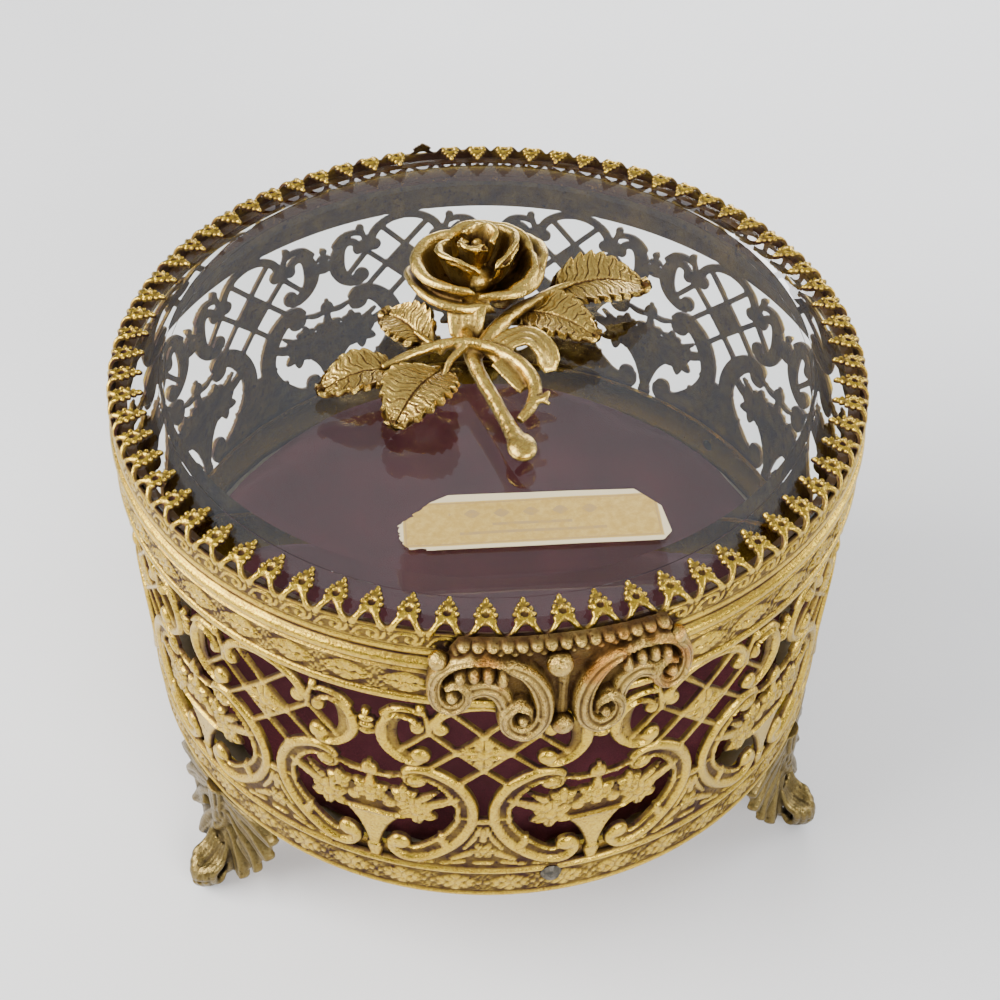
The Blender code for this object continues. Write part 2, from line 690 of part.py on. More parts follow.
def hang_lid():
    """Parent every lid piece to an empty on the hinge axis, and shade the box."""
    axis = bpy.data.objects.new("lid_hinge", None)
    axis.empty_display_size = 10 * MM
    BOX.objects.link(axis)
    axis.location = Vector((0.0, HINGE_AXIS_Y, HINGE_AXIS_Z)) * MM
    bpy.context.view_layer.update()
    for name in LID_PIECES:
        piece = bpy.data.objects[name]
        piece.parent = axis
        piece.matrix_parent_inverse = axis.matrix_world.inverted()
    for piece in BOX.objects:
        if piece.type == "MESH":
            piece.data.shade_smooth()
            piece.data.set_sharp_from_angle(angle=math.radians(35))


build_wall()
build_top_band()
build_base()
for foot_side, foot_angle in FOOT_ANGLES.items():
    build_foot(foot_side, foot_angle)
for rivet_side, rivet_angle in WALL_RIVET_ANGLES.items():
    build_wall_rivet(rivet_side, rivet_angle)
build_hinge()
build_gallery()
build_seat_and_glass()
build_clasp()
build_bloom()
build_spray()
build_cement()
build_label()
hang_lid()
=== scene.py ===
"""Looks of the round filigree trinket box with a bevelled glass lid and a cast rose.

Lengths are in millimetres until a point is placed, and MM turns them into metres.
Angles run from the front (-Y) towards +X. A stamped piece is drawn flat, in u across and v up,
as raised lines, ovals and flowers, and is then bent onto its cylinder.
"""
import math

import bmesh
import bpy
import numpy as np
from mathutils import Matrix, Vector


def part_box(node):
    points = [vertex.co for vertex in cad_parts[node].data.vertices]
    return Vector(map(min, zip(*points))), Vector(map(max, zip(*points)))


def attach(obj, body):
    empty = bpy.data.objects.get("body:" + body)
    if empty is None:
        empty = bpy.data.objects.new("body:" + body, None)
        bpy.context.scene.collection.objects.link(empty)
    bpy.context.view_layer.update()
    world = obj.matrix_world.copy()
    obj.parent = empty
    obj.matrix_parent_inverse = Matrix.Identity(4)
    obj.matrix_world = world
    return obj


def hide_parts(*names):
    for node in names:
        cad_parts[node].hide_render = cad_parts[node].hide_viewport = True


MM = 0.001

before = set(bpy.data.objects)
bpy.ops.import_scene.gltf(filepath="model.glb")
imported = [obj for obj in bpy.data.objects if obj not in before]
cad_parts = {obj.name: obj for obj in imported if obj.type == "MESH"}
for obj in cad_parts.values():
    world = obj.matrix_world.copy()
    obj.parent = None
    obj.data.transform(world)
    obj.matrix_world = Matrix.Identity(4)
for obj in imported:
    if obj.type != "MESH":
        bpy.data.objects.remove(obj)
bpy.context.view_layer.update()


def heights(node):
    """Lowest and highest point of a CAD node, in millimetres."""
    low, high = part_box(node)
    return low.z / MM, high.z / MM


FLOOR_OF_BOX = heights("filigree_wall")[0]
BAND_BOTTOM, SEAM = heights("top_border_band")
GLASS_LOW, GLASS_TOP = heights("bevelled_glass")
PAD_LOW, PAD_TOP = heights("velvet_pad")
STRIP_LOW = heights("prong_gallery")[0]
ORNAMENT_LOW = GLASS_TOP + 0.3

WALL_RADIUS = 61.6
BAND_INNER = 61.9
STRIP_RADIUS = 62.0
STRIP_TOP = 90.1
REPEATS = 11
REPEAT_WIDTH = 2 * math.pi * WALL_RADIUS / REPEATS
HALF = REPEAT_WIDTH / 2
PATTERN_START = math.radians(6.2)
PRONGS = 71
PRONG_PITCH = 2 * math.pi * STRIP_RADIUS / PRONGS
RAISED_PRONG = 36 * 2 * math.pi / PRONGS  # the prong at the back that stands up from the rim
FOOT_ANGLES = {"left": -57.5, "right": 52.5, "back": 177.5}  # degrees, the line of each rivet
FOOT_SWING = {"left": -1.6, "right": 1.0, "back": 0.0}  # degrees that each leaf is turned from that line
BORDER_LEAVES = 44
RING_STEPS = 264
BAND_STEPS = 26 * BORDER_LEAVES
CLASP_RADIUS = 63.0
CLASP_SHIFT = -0.4
FAR = 50.0  # further from any shape than a sheet is wide
WARM, COOL = (1.0, 0.985, 0.96), (0.97, 0.98, 1.0)


# ---------------------------------------------------------------- camera, light and floor
def add_camera():
    """The photo's viewpoint, solved from the ring of prongs, the rims and the feet."""
    azimuth = math.radians(-10.5)
    elevation = math.radians(40.8)
    roll = math.radians(0.854)
    distance = 242.7
    beside, before = 1.18, 14.9
    turn = Matrix.Rotation(azimuth, 3, "Z")
    right = turn @ Vector((1, 0, 0))
    forward = turn @ Vector((0, 1, 0))
    rotation = turn @ Matrix.Rotation(math.pi / 2 - elevation, 3, "X")
    back = rotation @ Vector((0, 0, 1))
    aim = Vector((0, 0, heights("prong_gallery")[1])) + right * beside - forward * before
    data = bpy.data.cameras.new("camera")
    data.lens = 55.48
    data.sensor_width = 36.0
    data.shift_x = 0.005
    data.shift_y = -0.10
    camera = bpy.data.objects.new("camera", data)
    bpy.context.scene.collection.objects.link(camera)
    camera.matrix_world = (Matrix.Translation((aim + back * distance) * MM)
                           @ (rotation @ Matrix.Rotation(roll, 3, "Z")).to_4x4())
    bpy.context.scene.camera = camera


def add_area_light(name, place, size, power, colour):
    """Rectangular light aimed at the middle of the box."""
    data = bpy.data.lights.new(name, "AREA")
    data.shape = "RECTANGLE"
    data.size, data.size_y = size
    data.energy = power
    data.color = colour
    light = bpy.data.objects.new(name, data)
    bpy.context.scene.collection.objects.link(light)
    light.location = place
    aim = Vector((0, 0, 0.05)) - Vector(place)
    light.rotation_euler = aim.to_track_quat("-Z", "Y").to_euler()


def add_light():
    """Sky that darkens towards the ground, a window on the left and three weak fills."""
    world = bpy.data.worlds.new("studio")
    bpy.context.scene.world = world
    world.use_nodes = True
    nodes, links = world.node_tree.nodes, world.node_tree.links
    coords = nodes.new("ShaderNodeTexCoord")
    split = nodes.new("ShaderNodeSeparateXYZ")
    ramp = nodes.new("ShaderNodeValToRGB")
    links.new(coords.outputs["Generated"], split.inputs[0])
    links.new(split.outputs["Z"], ramp.inputs[0])
    links.new(ramp.outputs[0], nodes["Background"].inputs["Color"])
    below, above = ramp.color_ramp.elements
    below.color = (0.10, 0.10, 0.10, 1)
    above.position = 0.7
    above.color = (0.80, 0.82, 0.86, 1)
    ramp.color_ramp.elements.new(0.3).color = (0.20, 0.20, 0.21, 1)
    nodes["Background"].inputs["Strength"].default_value = 1.0
    add_area_light("key_window", (-0.85, -0.02, 0.62), (0.9, 0.6), 26, WARM)
    add_area_light("back_fill", (0.35, 0.95, 0.25), (0.8, 0.3), 7, COOL)
    add_area_light("front_fill", (0.25, -0.75, 0.45), (0.6, 0.3), 8.5, COOL)
    add_area_light("side_fill", (0.75, 0.05, 0.30), (0.4, 0.4), 3.5, COOL)


# ---------------------------------------------------------------- materials
class Shader:
    """Small helper that adds and links nodes of one material."""

    def __init__(self, name):
        self.material = bpy.data.materials.new(name)
        self.material.use_nodes = True
        self.nodes = self.material.node_tree.nodes
        self.links = self.material.node_tree.links
        self.main = self.nodes["Principled BSDF"]
        self.coords = self.nodes.new("ShaderNodeTexCoord").outputs["Object"]

    def set(self, **values):
        for name, value in values.items():
            self.main.inputs[name.replace("_", " ")].default_value = value

    def feed(self, value, socket):
        """Link a node's output, or set a plain value."""
        if isinstance(value, bpy.types.NodeSocket):
            self.links.new(value, socket)
        else:
            socket.default_value = value

    def noise(self, per_mm, detail=3.0, roughness=0.6, stretch=None):
        node = self.nodes.new("ShaderNodeTexNoise")
        node.inputs["Scale"].default_value = per_mm / MM
        node.inputs["Detail"].default_value = detail
        node.inputs["Roughness"].default_value = roughness
        source = self.coords
        if stretch:
            mapping = self.nodes.new("ShaderNodeMapping")
            mapping.inputs["Scale"].default_value = stretch
            self.links.new(source, mapping.inputs["Vector"])
            source = mapping.outputs[0]
        self.links.new(source, node.inputs["Vector"])
        return node.outputs["Fac"]

    def attribute(self, name):
        node = self.nodes.new("ShaderNodeAttribute")
        node.attribute_name = name
        return node.outputs["Fac"]

    def hollow(self, reach):
        """1 in the open and 0 deep in a crevice."""
        node = self.nodes.new("ShaderNodeAmbientOcclusion")
        node.samples = 6
        node.inputs["Distance"].default_value = reach * MM
        return node.outputs["AO"]

    def pointed(self):
        return self.nodes.new("ShaderNodeNewGeometry").outputs["Pointiness"]

    def math(self, operation, first, second=0.0, clamp=False):
        node = self.nodes.new("ShaderNodeMath")
        node.operation = operation
        node.use_clamp = clamp
        self.feed(first, node.inputs[0])
        self.feed(second, node.inputs[1])
        return node.outputs[0]

    def plus(self, first, second, clamp=False):
        return self.math("ADD", first, second, clamp)

    def minus(self, first, second, clamp=False):
        return self.math("SUBTRACT", first, second, clamp)

    def times(self, first, second):
        return self.math("MULTIPLY", first, second)

    def ramp(self, value, low, high, first=0.0, last=1.0):
        """Smooth step from first to last while the value goes from low to high."""
        node = self.nodes.new("ShaderNodeMapRange")
        node.interpolation_type = "SMOOTHSTEP"
        for socket, number in zip(node.inputs[1:5], (low, high, first, last)):
            socket.default_value = number
        self.links.new(value, node.inputs[0])
        return node.outputs[0]

    def blend(self, factor, first, second):
        node = self.nodes.new("ShaderNodeMix")
        node.data_type = "RGBA"
        colours = [socket for socket in node.inputs if socket.type == "RGBA"]
        self.feed(factor, node.inputs[0])
        for socket, colour in zip(colours, (first, second)):
            self.feed((*colour, 1.0) if isinstance(colour, tuple) else colour, socket)
        return [socket for socket in node.outputs if socket.type == "RGBA"][0]

    def colour(self, value):
        self.feed(value, self.main.inputs["Base Color"])

    def roughness(self, value):
        self.feed(value, self.main.inputs["Roughness"])

    def bump(self, height, depth):
        node = self.nodes.new("ShaderNodeBump")
        node.inputs["Distance"].default_value = depth * MM
        self.links.new(height, node.inputs["Height"])
        self.links.new(node.outputs[0], self.main.inputs["Normal"])


def gilt_metal(name, bright, hollow_patina_and_shade, relief=True, reach=1.6, shine=0.28, pitting=0.05, flash=None,
               edges=False):
    """Worn gilding: bright where wear has polished it, brown patina with painted shade in the hollows, with
    mottled tone and fine pitting.

    relief reads how far each point is raised and darkens the low parts, edges keeps ridges bright and darkens
    concave parts with painted shade, flash is a second colour in patches.
    """
    shader = Shader(name)
    shader.set(Metallic=1.0)
    mottle = shader.noise(0.22, 4.0)
    grain = shader.noise(2.6, 3.0)
    # Painted shade with patina: hollows, creases and low relief take the dark second colour.
    wear_and_shade_mask = shader.ramp(shader.hollow(reach), 0.40, 0.95)
    if relief:
        raised = shader.ramp(shader.attribute("relief"), 0.06, 0.52)
        wear_and_shade_mask = shader.times(wear_and_shade_mask, shader.plus(raised, 0.10, clamp=True))
    if edges:
        ridge = shader.ramp(shader.pointed(), 0.455, 0.525, 0.12, 1.0)
        wear_and_shade_mask = shader.times(wear_and_shade_mask, ridge)
    wear_and_shade_mask = shader.plus(wear_and_shade_mask, shader.times(shader.minus(mottle, 0.5), 0.9))
    specks = shader.ramp(shader.noise(0.9, 5.0, 0.7), 0.58, 0.68, 0.0, 0.55)
    wear_and_shade_mask = shader.minus(wear_and_shade_mask, specks, clamp=True)
    deeper = tuple(c * f for c, f in zip(bright, (0.70, 0.60, 0.48)))
    body = shader.blend(shader.ramp(grain, 0.35, 0.7), bright, deeper)
    if flash:
        body = shader.blend(shader.ramp(shader.noise(0.12, 3.0), 0.53, 0.68), body, flash)
    shader.colour(shader.blend(wear_and_shade_mask, hollow_patina_and_shade, body))
    shader.roughness(shader.ramp(shader.minus(wear_and_shade_mask, shader.times(grain, 0.3)),
                                 0.0, 0.8, 0.60, shine))
    shader.bump(shader.plus(grain, shader.times(shader.noise(0.8, 2.0), 0.6)), pitting)
    return shader.material


def velvet_cloth(name, deep, sheen):
    """Short cut pile: dark in its depth, paler where it lies over, with soft crushed patches."""
    shader = Shader(name)
    patches = shader.noise(0.05, 4.0, 0.65)
    pile = shader.noise(5.5, 2.0, 0.7)
    light = tuple(min(1.0, c * 1.9 + 0.012) for c in deep)
    tone = shader.blend(shader.ramp(patches, 0.35, 0.68), deep, light)
    shader.colour(shader.blend(shader.ramp(pile, 0.2, 0.85), tuple(c * 0.55 for c in deep), tone))
    shader.set(Roughness=0.92, Sheen_Weight=0.28, Sheen_Roughness=0.35, Sheen_Tint=(*sheen, 1.0))
    shader.bump(shader.plus(pile, shader.times(patches, 1.5)), 0.07)
    return shader.material


def felt_cloth(name, deep):
    shader = Shader(name)
    fibres = shader.noise(1.6, 5.0, 0.75, stretch=(1.0, 2.6, 1.0))
    shader.colour(shader.blend(shader.ramp(fibres, 0.3, 0.75), deep, tuple(c * 1.8 for c in deep)))
    shader.set(Roughness=1.0, Sheen_Weight=0.3)
    shader.bump(fibres, 0.2)
    return shader.material


def clear_glass(name, tint):
    shader = Shader(name)
    smear = shader.noise(0.03, 5.0, 0.6)
    shader.set(Transmission_Weight=1.0, IOR=1.5)
    shader.main.inputs["Base Color"].default_value = (*tint, 1.0)
    shader.roughness(shader.ramp(smear, 0.5, 0.8, 0.0, 0.035))
    return shader.material


def cloudy_cement(name):
    shader = Shader(name)
    cloud = shader.noise(0.7, 4.0)
    shader.colour(shader.blend(cloud, (0.80, 0.79, 0.74), (0.95, 0.95, 0.92)))
    shader.set(Transmission_Weight=0.75, IOR=1.45, Roughness=0.25)
    shader.bump(cloud, 0.2)
    return shader.material


def grey_card(name):
    shader = Shader(name)
    fibre = shader.noise(1.2, 5.0, 0.7, stretch=(1.0, 3.0, 1.0))
    shader.colour(shader.blend(fibre, (0.30, 0.26, 0.21), (0.46, 0.41, 0.33)))
    shader.set(Roughness=0.92)
    shader.bump(fibre, 0.1)
    return shader.material


def plain_metal(name, bright, dull, shine):
    shader = Shader(name)
    wear = shader.noise(0.9, 4.0)
    shader.set(Metallic=1.0)
    shader.colour(shader.blend(shader.ramp(wear, 0.35, 0.7), dull, bright))
    shader.roughness(shader.ramp(wear, 0.3, 0.7, shine + 0.2, shine))
    shader.bump(shader.noise(3.0), 0.05)
    return shader.material


def label_paper(name, middle, half):
    """Aged gilt paper with a pale border, a thin rule inside it and a row of small lozenges."""
    shader = Shader(name)
    turned = shader.nodes.new("ShaderNodeMapping")
    turned.vector_type = "TEXTURE"
    turned.inputs["Location"].default_value = (middle[0] * MM, middle[1] * MM, 0)
    turned.inputs["Rotation"].default_value = (0, 0, middle[2])
    turned.inputs["Scale"].default_value = (half[0] * MM, half[1] * MM, 1)
    shader.links.new(shader.coords, turned.inputs["Vector"])
    split = shader.nodes.new("ShaderNodeSeparateXYZ")
    shader.links.new(turned.outputs[0], split.inputs[0])
    far_u = shader.math("ABSOLUTE", split.outputs["X"])
    far_v = shader.math("ABSOLUTE", split.outputs["Y"])
    nearest = shader.math("MINIMUM",
                          shader.times(shader.minus(1.0, far_u), half[0]),
                          shader.times(shader.minus(1.0, far_v), half[1]))
    wear = shader.noise(0.8, 5.0, 0.75)
    ragged = shader.plus(nearest, shader.times(shader.minus(wear, 0.5), 0.35))
    rule = shader.math("LESS_THAN", shader.math("ABSOLUTE", shader.minus(ragged, 1.0)), 0.10)
    wave = shader.math("COSINE", shader.times(split.outputs["X"], math.pi * 9))
    height = shader.math("ABSOLUTE", shader.minus(split.outputs["Y"], 0.35))
    lozenge = shader.math("GREATER_THAN", shader.minus(wave, shader.times(height, 7.0)),
                          -0.2)
    ink = shader.times(lozenge, shader.math("LESS_THAN", far_u, 0.62))
    for level, reach in ((-0.10, 0.30), (-0.42, 0.55)):
        close = shader.math("ABSOLUTE", shader.minus(split.outputs["Y"], level))
        line = shader.times(shader.math("LESS_THAN", close, 0.055),
                           shader.math("LESS_THAN", far_u, reach))
        ink = shader.math("MAXIMUM", ink, line)
    ink = shader.math("MAXIMUM", rule, ink)
    faded = shader.times(ink, shader.ramp(wear, 0.34, 0.6, 0.25, 0.75))
    paper = shader.blend(shader.ramp(wear, 0.35, 0.7), (0.42, 0.27, 0.055), (0.54, 0.37, 0.10))
    paper = shader.blend(shader.ramp(ragged, 0.55, 0.75, 0.85, 0.0), paper, (0.70, 0.60, 0.38))
    shader.colour(shader.blend(faded, paper, (0.30, 0.20, 0.10)))
    shader.set(Roughness=0.5, Metallic=0.15)
    shader.bump(wear, 0.04)
    return shader.material


def floor_paint(name):
    shader = Shader(name)
    cloud = shader.noise(0.01, 3.0)
    shader.colour(shader.blend(cloud, (0.78, 0.78, 0.785), (0.84, 0.84, 0.84)))
    shader.set(Roughness=0.45)
    return shader.material


YELLOW_GOLD = (0.62, 0.430, 0.052)
# The second colour of each gilding is brown patina deepened with painted shade, for hollows, creases and low
# relief.
STAMPED_GOLD = gilt_metal("stamped_gold", YELLOW_GOLD, (0.050, 0.024, 0.018), shine=0.25, pitting=0.10)
SMOOTH_GOLD = gilt_metal("smooth_gold", YELLOW_GOLD, (0.20, 0.11, 0.06), relief=False, shine=0.22)
CAST_GOLD = gilt_metal("cast_gold", (0.70, 0.50, 0.13), (0.075, 0.037, 0.014), shine=0.22,
                       reach=3.0, pitting=0.09, edges=True)
CLASP_GOLD = gilt_metal("clasp_gold", (0.50, 0.355, 0.100), (0.060, 0.030, 0.011), shine=0.16, pitting=0.20,
                        flash=(0.42, 0.200, 0.045), edges=True)
FOOT_GOLD = gilt_metal("foot_gold", (0.20, 0.150, 0.052), (0.04, 0.028, 0.014), relief=False, shine=0.30,
                       pitting=0.1, reach=3.0, edges=True)
RIVET_METAL = plain_metal("dark_rivet", (0.16, 0.14, 0.11), (0.06, 0.055, 0.045), 0.45)
PIN_METAL = plain_metal("pin_steel", (0.55, 0.52, 0.47), (0.28, 0.24, 0.20), 0.3)
GLASS = clear_glass("bevelled_glass", (0.965, 0.985, 0.975))
CEMENT = cloudy_cement("clear_cement")
VELVET = velvet_cloth("burgundy_velvet", (0.066, 0.0026, 0.0085), (0.50, 0.22, 0.32))
FELT = felt_cloth("burgundy_felt", (0.07, 0.010, 0.022))
CARD = grey_card("grey_card")


# ---------------------------------------------------------------- meshes from points
def finish_mesh(name, points, faces, material, sharp=50):
    mesh = bpy.data.meshes.new(name)
    mesh.from_pydata(points, [], faces)
    mesh.update()
    mesh.shade_smooth()
    mesh.set_sharp_from_angle(angle=math.radians(sharp))
    mesh.materials.append(material)
    piece = bpy.data.objects.new(name, mesh)
    bpy.context.scene.collection.objects.link(piece)
    return piece


def mark_relief(piece, values):
    """Store how raised each point is, for the gilding to read: high points stay bright with wear, low points
    take patina and painted shade; one number marks the whole piece.
    """
    layer = piece.data.attributes.get("relief") or piece.data.attributes.new("relief", "FLOAT", "POINT")
    count = len(piece.data.vertices)
    layer.data.foreach_set("value", np.broadcast_to(np.asarray(values, np.float32), count).copy())


def polar(radius, angle, height):
    """Arrays of points, in metres, at an angle measured from the front towards +X."""
    radius, angle, height = np.broadcast_arrays(radius, angle, height)
    return np.stack([radius * np.sin(angle), -radius * np.cos(angle), height], -1) * MM


def turned(name, profile, material, steps=RING_STEPS, swell=None, sharp=40):
    """Turn a closed (radius, height) profile about Z; swell(angle) pushes its points out."""
    profile = np.array(profile, float)
    count = len(profile)
    angle = np.arange(steps)[:, None] * 2 * math.pi / steps
    radius = np.broadcast_to(profile[:, 0], (steps, count))
    if swell is not None:
        radius = radius + swell(angle)
    points = polar(radius, angle, profile[:, 1]).reshape(-1, 3)
    step, ring = np.meshgrid(np.arange(steps), np.arange(count), indexing="ij")
    after, above = (step + 1) % steps, (ring + 1) % count
    faces = np.stack([step * count + ring, after * count + ring, after * count + above,
                      step * count + above], -1)
    return finish_mesh(name, points.tolist(), faces.reshape(-1, 4).tolist(), material, sharp)


def rounded(points, radius=0.25, steps=3):
    """Closed (r, z) outline with its corners rounded off."""
    points = [Vector(p) for p in points]
    result = []
    for index, corner in enumerate(points):
        before = points[index - 1] - corner
        after = points[(index + 1) % len(points)] - corner
        reach = min(radius, before.length * 0.45, after.length * 0.45)
        start = corner + before.normalized() * reach
        end = corner + after.normalized() * reach
        for step in range(steps + 1):
            part = step / steps
            result.append(start.lerp(corner, part).lerp(corner.lerp(end, part), part))
    return [tuple(p) for p in result]


def smooth_line(points, per_step=6):
    """Catmull-Rom line through rows of numbers."""
    rows = np.array(points, float)
    padded = np.vstack([2 * rows[0] - rows[1], rows, 2 * rows[-1] - rows[-2]])
    part = (np.arange(per_step) / per_step)[:, None]
    pieces = []
    for a, b, c, d in zip(padded, padded[1:], padded[2:], padded[3:]):
        pieces.append(0.5 * (2 * b + (c - a) * part + (2 * a - 5 * b + 4 * c - d) * part ** 2
                             + (3 * b - a - 3 * c + d) * part ** 3))
    pieces.append(rows[-1:])
    return np.vstack(pieces)


def bulge(across):
    return np.sqrt(np.clip(1 - across ** 2, 0, 1))


def flat_bar(across):
    return np.clip(2.6 * (1 - np.abs(across)), 0, 1)


def channelled(across):
    """Round band with a hollow along its middle."""
    return bulge(across) * (1 - 0.34 * np.exp(-(across / 0.34) ** 2))


def rimmed(across):
    """High round rim on the outer side of a scroll, and a low hollow on its inner side."""
    return np.maximum(bulge((across + 0.48) / 0.52), 0.22 * bulge((across - 0.45) / 0.55))


class Relief:
    """Raised shapes on one sheet: the signed distance to the metal's edge, and its height."""

    def __init__(self, u, v):
        self.u, self.v = u, v
        self.edge = np.full(u.shape, FAR)
        self.height = np.zeros(u.shape)

    def add(self, edge, height):
        self.edge = np.minimum(self.edge, edge)
        self.height = np.maximum(self.height, np.where(edge < 0, height, 0.0))

    def from_segment(self, u0, v0, du, dv):
        """Share along a straight stretch of the nearest point on it, and the way from there."""
        part = np.clip(((self.u - u0) * du + (self.v - v0) * dv) / (du * du + dv * dv), 0, 1)
        return part, self.u - u0 - part * du, self.v - v0 - part * dv

    def measure(self, points, curved=True):
        """Distance past the sides of a line of (u, v, half width), and the place across it."""
        line = smooth_line(points) if curved else np.array(points, float)
        best = np.full(self.u.shape, FAR)
        across = np.zeros(self.u.shape)
        for (u0, v0, w0), (u1, v1, w1) in zip(line, line[1:]):
            du, dv = u1 - u0, v1 - v0
            part, off_u, off_v = self.from_segment(u0, v0, du, dv)
            half = w0 + (w1 - w0) * part
            away = np.hypot(off_u, off_v)
            closer = away - half < best
            best = np.where(closer, away - half, best)
            side = np.where(du * off_v - dv * off_u > 0, 1.0, -1.0)
            across = np.where(closer, side * away / half, across)
        return best, across

    def line(self, points, top, profile=bulge, curved=True):
        edge, across = self.measure(points, curved)
        self.add(edge, top * profile(across))

    def groove(self, points, depth):
        edge, across = self.measure(points)
        self.height = self.height - np.where(edge < 0, depth * bulge(across), 0.0)

    def oval(self, centre, half_u, half_v, top):
        away = np.hypot((self.u - centre[0]) / half_u, (self.v - centre[1]) / half_v)
        self.add((away - 1) * min(half_u, half_v), top * bulge(np.minimum(away, 1)))

    def plate(self, corners, top):
        """Flat area inside a closed outline."""
        inside = np.zeros(self.u.shape, bool)
        away = np.full(self.u.shape, FAR)
        for (u0, v0), (u1, v1) in zip(corners, corners[1:] + corners[:1]):
            du, dv = u1 - u0, v1 - v0
            _, off_u, off_v = self.from_segment(u0, v0, du, dv)
            away = np.minimum(away, np.hypot(off_u, off_v))
            if dv != 0:
                crossing = (v0 > self.v) != (v1 > self.v)
                inside ^= crossing & (self.u < u0 + (self.v - v0) * du / dv)
        edge = np.where(inside, -away, away)
        self.add(edge, top * np.clip(-edge / 0.5, 0, 1))

    def flower(self, centre, radius, petals, turn, top):
        """Ring of creased petals round a button."""
        off_u, off_v = self.u - centre[0], self.v - centre[1]
        away = np.hypot(off_u, off_v)
        sector = 2 * math.pi / petals
        lean = np.mod(np.arctan2(off_v, off_u) - turn + sector / 2, sector) - sector / 2
        along, across = away * np.cos(lean), away * np.sin(lean)
        wide = 0.60 * radius * math.sin(sector / 2) * (1.15 - 0.5 * np.clip(along / radius, 0, 1) ** 2)
        share = np.hypot((along - 0.56 * radius) / (0.44 * radius), across / wide)
        crease = 1 - 0.55 * np.exp(-(across / (0.09 * radius)) ** 2)
        self.add((share - 1) * wide, top * bulge(np.minimum(share, 1)) * crease)
        self.oval(centre, radius * 0.3, radius * 0.3, top)


def joined_corners(kept):
    """Fill cells so that no two kept cells meet at a corner alone."""
    for _ in range(2):
        a, b, c, d = kept[:-1, :-1], kept[1:, :-1], kept[:-1, 1:], kept[1:, 1:]
        crossed = (a & d & ~b & ~c) | (b & c & ~a & ~d)
        for view in (a, b, c, d):
            view |= crossed
    return kept


def neighbours(kept, closed):
    """The cell below, right of, above and left of each cell."""
    padded = np.pad(kept, 1)
    if closed:
        padded[0, 1:-1], padded[-1, 1:-1] = kept[-1], kept[0]
    return padded[1:-1, :-2], padded[2:, 1:-1], padded[1:-1, 2:], padded[:-2, 1:-1]


def relief_sheet(name, u_line, v_line, design, place, depth, material, repeats=1, roll=0.35, sharp=50):
    """Pierced and embossed sheet: the cells inside the design, their edge drawn onto its outline."""
    u, v = np.meshgrid(u_line, v_line, indexing="ij")
    edge, _ = design(u, v)
    kept = joined_corners((edge[:-1, :-1] + edge[1:, :-1] + edge[:-1, 1:] + edge[1:, 1:]) < 0)
    touching = np.pad(kept.astype(int), 1, mode="edge")
    touching = touching[:-1, :-1] + touching[1:, :-1] + touching[:-1, 1:] + touching[1:, 1:]
    border = (touching > 0) & (touching < 4)
    slope_u, slope_v = np.gradient(edge, u_line, v_line)
    pull = np.where(border, -edge / np.maximum(slope_u ** 2 + slope_v ** 2, 0.25), 0.0)
    limit = 0.6 * (u_line[1] - u_line[0])
    shift_u = np.clip(pull * slope_u, -limit, limit)
    shift_v = np.clip(pull * slope_v, -limit, limit)
    shift_u[[0, -1]] = 0
    shift_v[:, [0, -1]] = 0
    u, v = u + shift_u, v + shift_v
    edge, height = design(u, v)
    height = height * bulge(1 - np.clip(-edge / roll, 0, 1))

    closed = repeats > 1
    if closed:
        width = u_line[-1] - u_line[0]
        u = np.concatenate([u[:-1] + width * k for k in range(repeats)])
        v, height = np.tile(v[:-1], (repeats, 1)), np.tile(height[:-1], (repeats, 1))
        kept = np.tile(kept, (repeats, 1))
    rows, columns = u.shape
    front = place(u, v, height).reshape(-1, 3)
    back = place(u, v, np.full_like(u, -depth)).reshape(-1, 3)
    total = rows * columns
    i, j = np.nonzero(kept)
    after = (i + 1) % rows
    a, b, c, d = i * columns + j, after * columns + j, after * columns + j + 1, i * columns + j + 1
    faces = [np.stack([a, b, c, d], 1), np.stack([a, d, c, b], 1) + total]
    for other, (start, end) in zip(neighbours(kept, closed), ((a, b), (b, c), (c, d), (d, a))):
        rim = ~other[i, j]
        start, end = start[rim], end[rim]
        faces.append(np.stack([end, start, start + total, end + total], 1))
    faces = np.vstack(faces)
    used, packed = np.unique(faces, return_inverse=True)
    points = np.vstack([front, back])[used]
    piece = finish_mesh(name, points.tolist(), packed.reshape(-1, 4).tolist(), material, sharp)
    tallest = max(float(height.max()), 0.01)
    # The back faces are marked low, so they take the brown patina and painted shade of the hollows.
    raised = np.concatenate([height.ravel() / tallest, np.full(total, 0.15)])[used]
    mark_relief(piece, raised)
    return piece


def even_steps(low, high, size):
    return np.linspace(low, high, max(2, round((high - low) / size) + 1))


def path_mapper(stations):
    """Follow a (length, radius, height) path: point and outward normal at each length."""
    line = smooth_line(stations, 8)

    def follow(length):
        radius = np.interp(length, line[:, 0], line[:, 1])
        height = np.interp(length, line[:, 0], line[:, 2])
        step = 0.2
        run, rise = (np.interp(length + step, line[:, 0], line[:, k])
                     - np.interp(length - step, line[:, 0], line[:, k]) for k in (1, 2))
        size = np.maximum(np.hypot(run, rise), 1e-6)
        return radius, height, rise / size, -run / size
    return follow


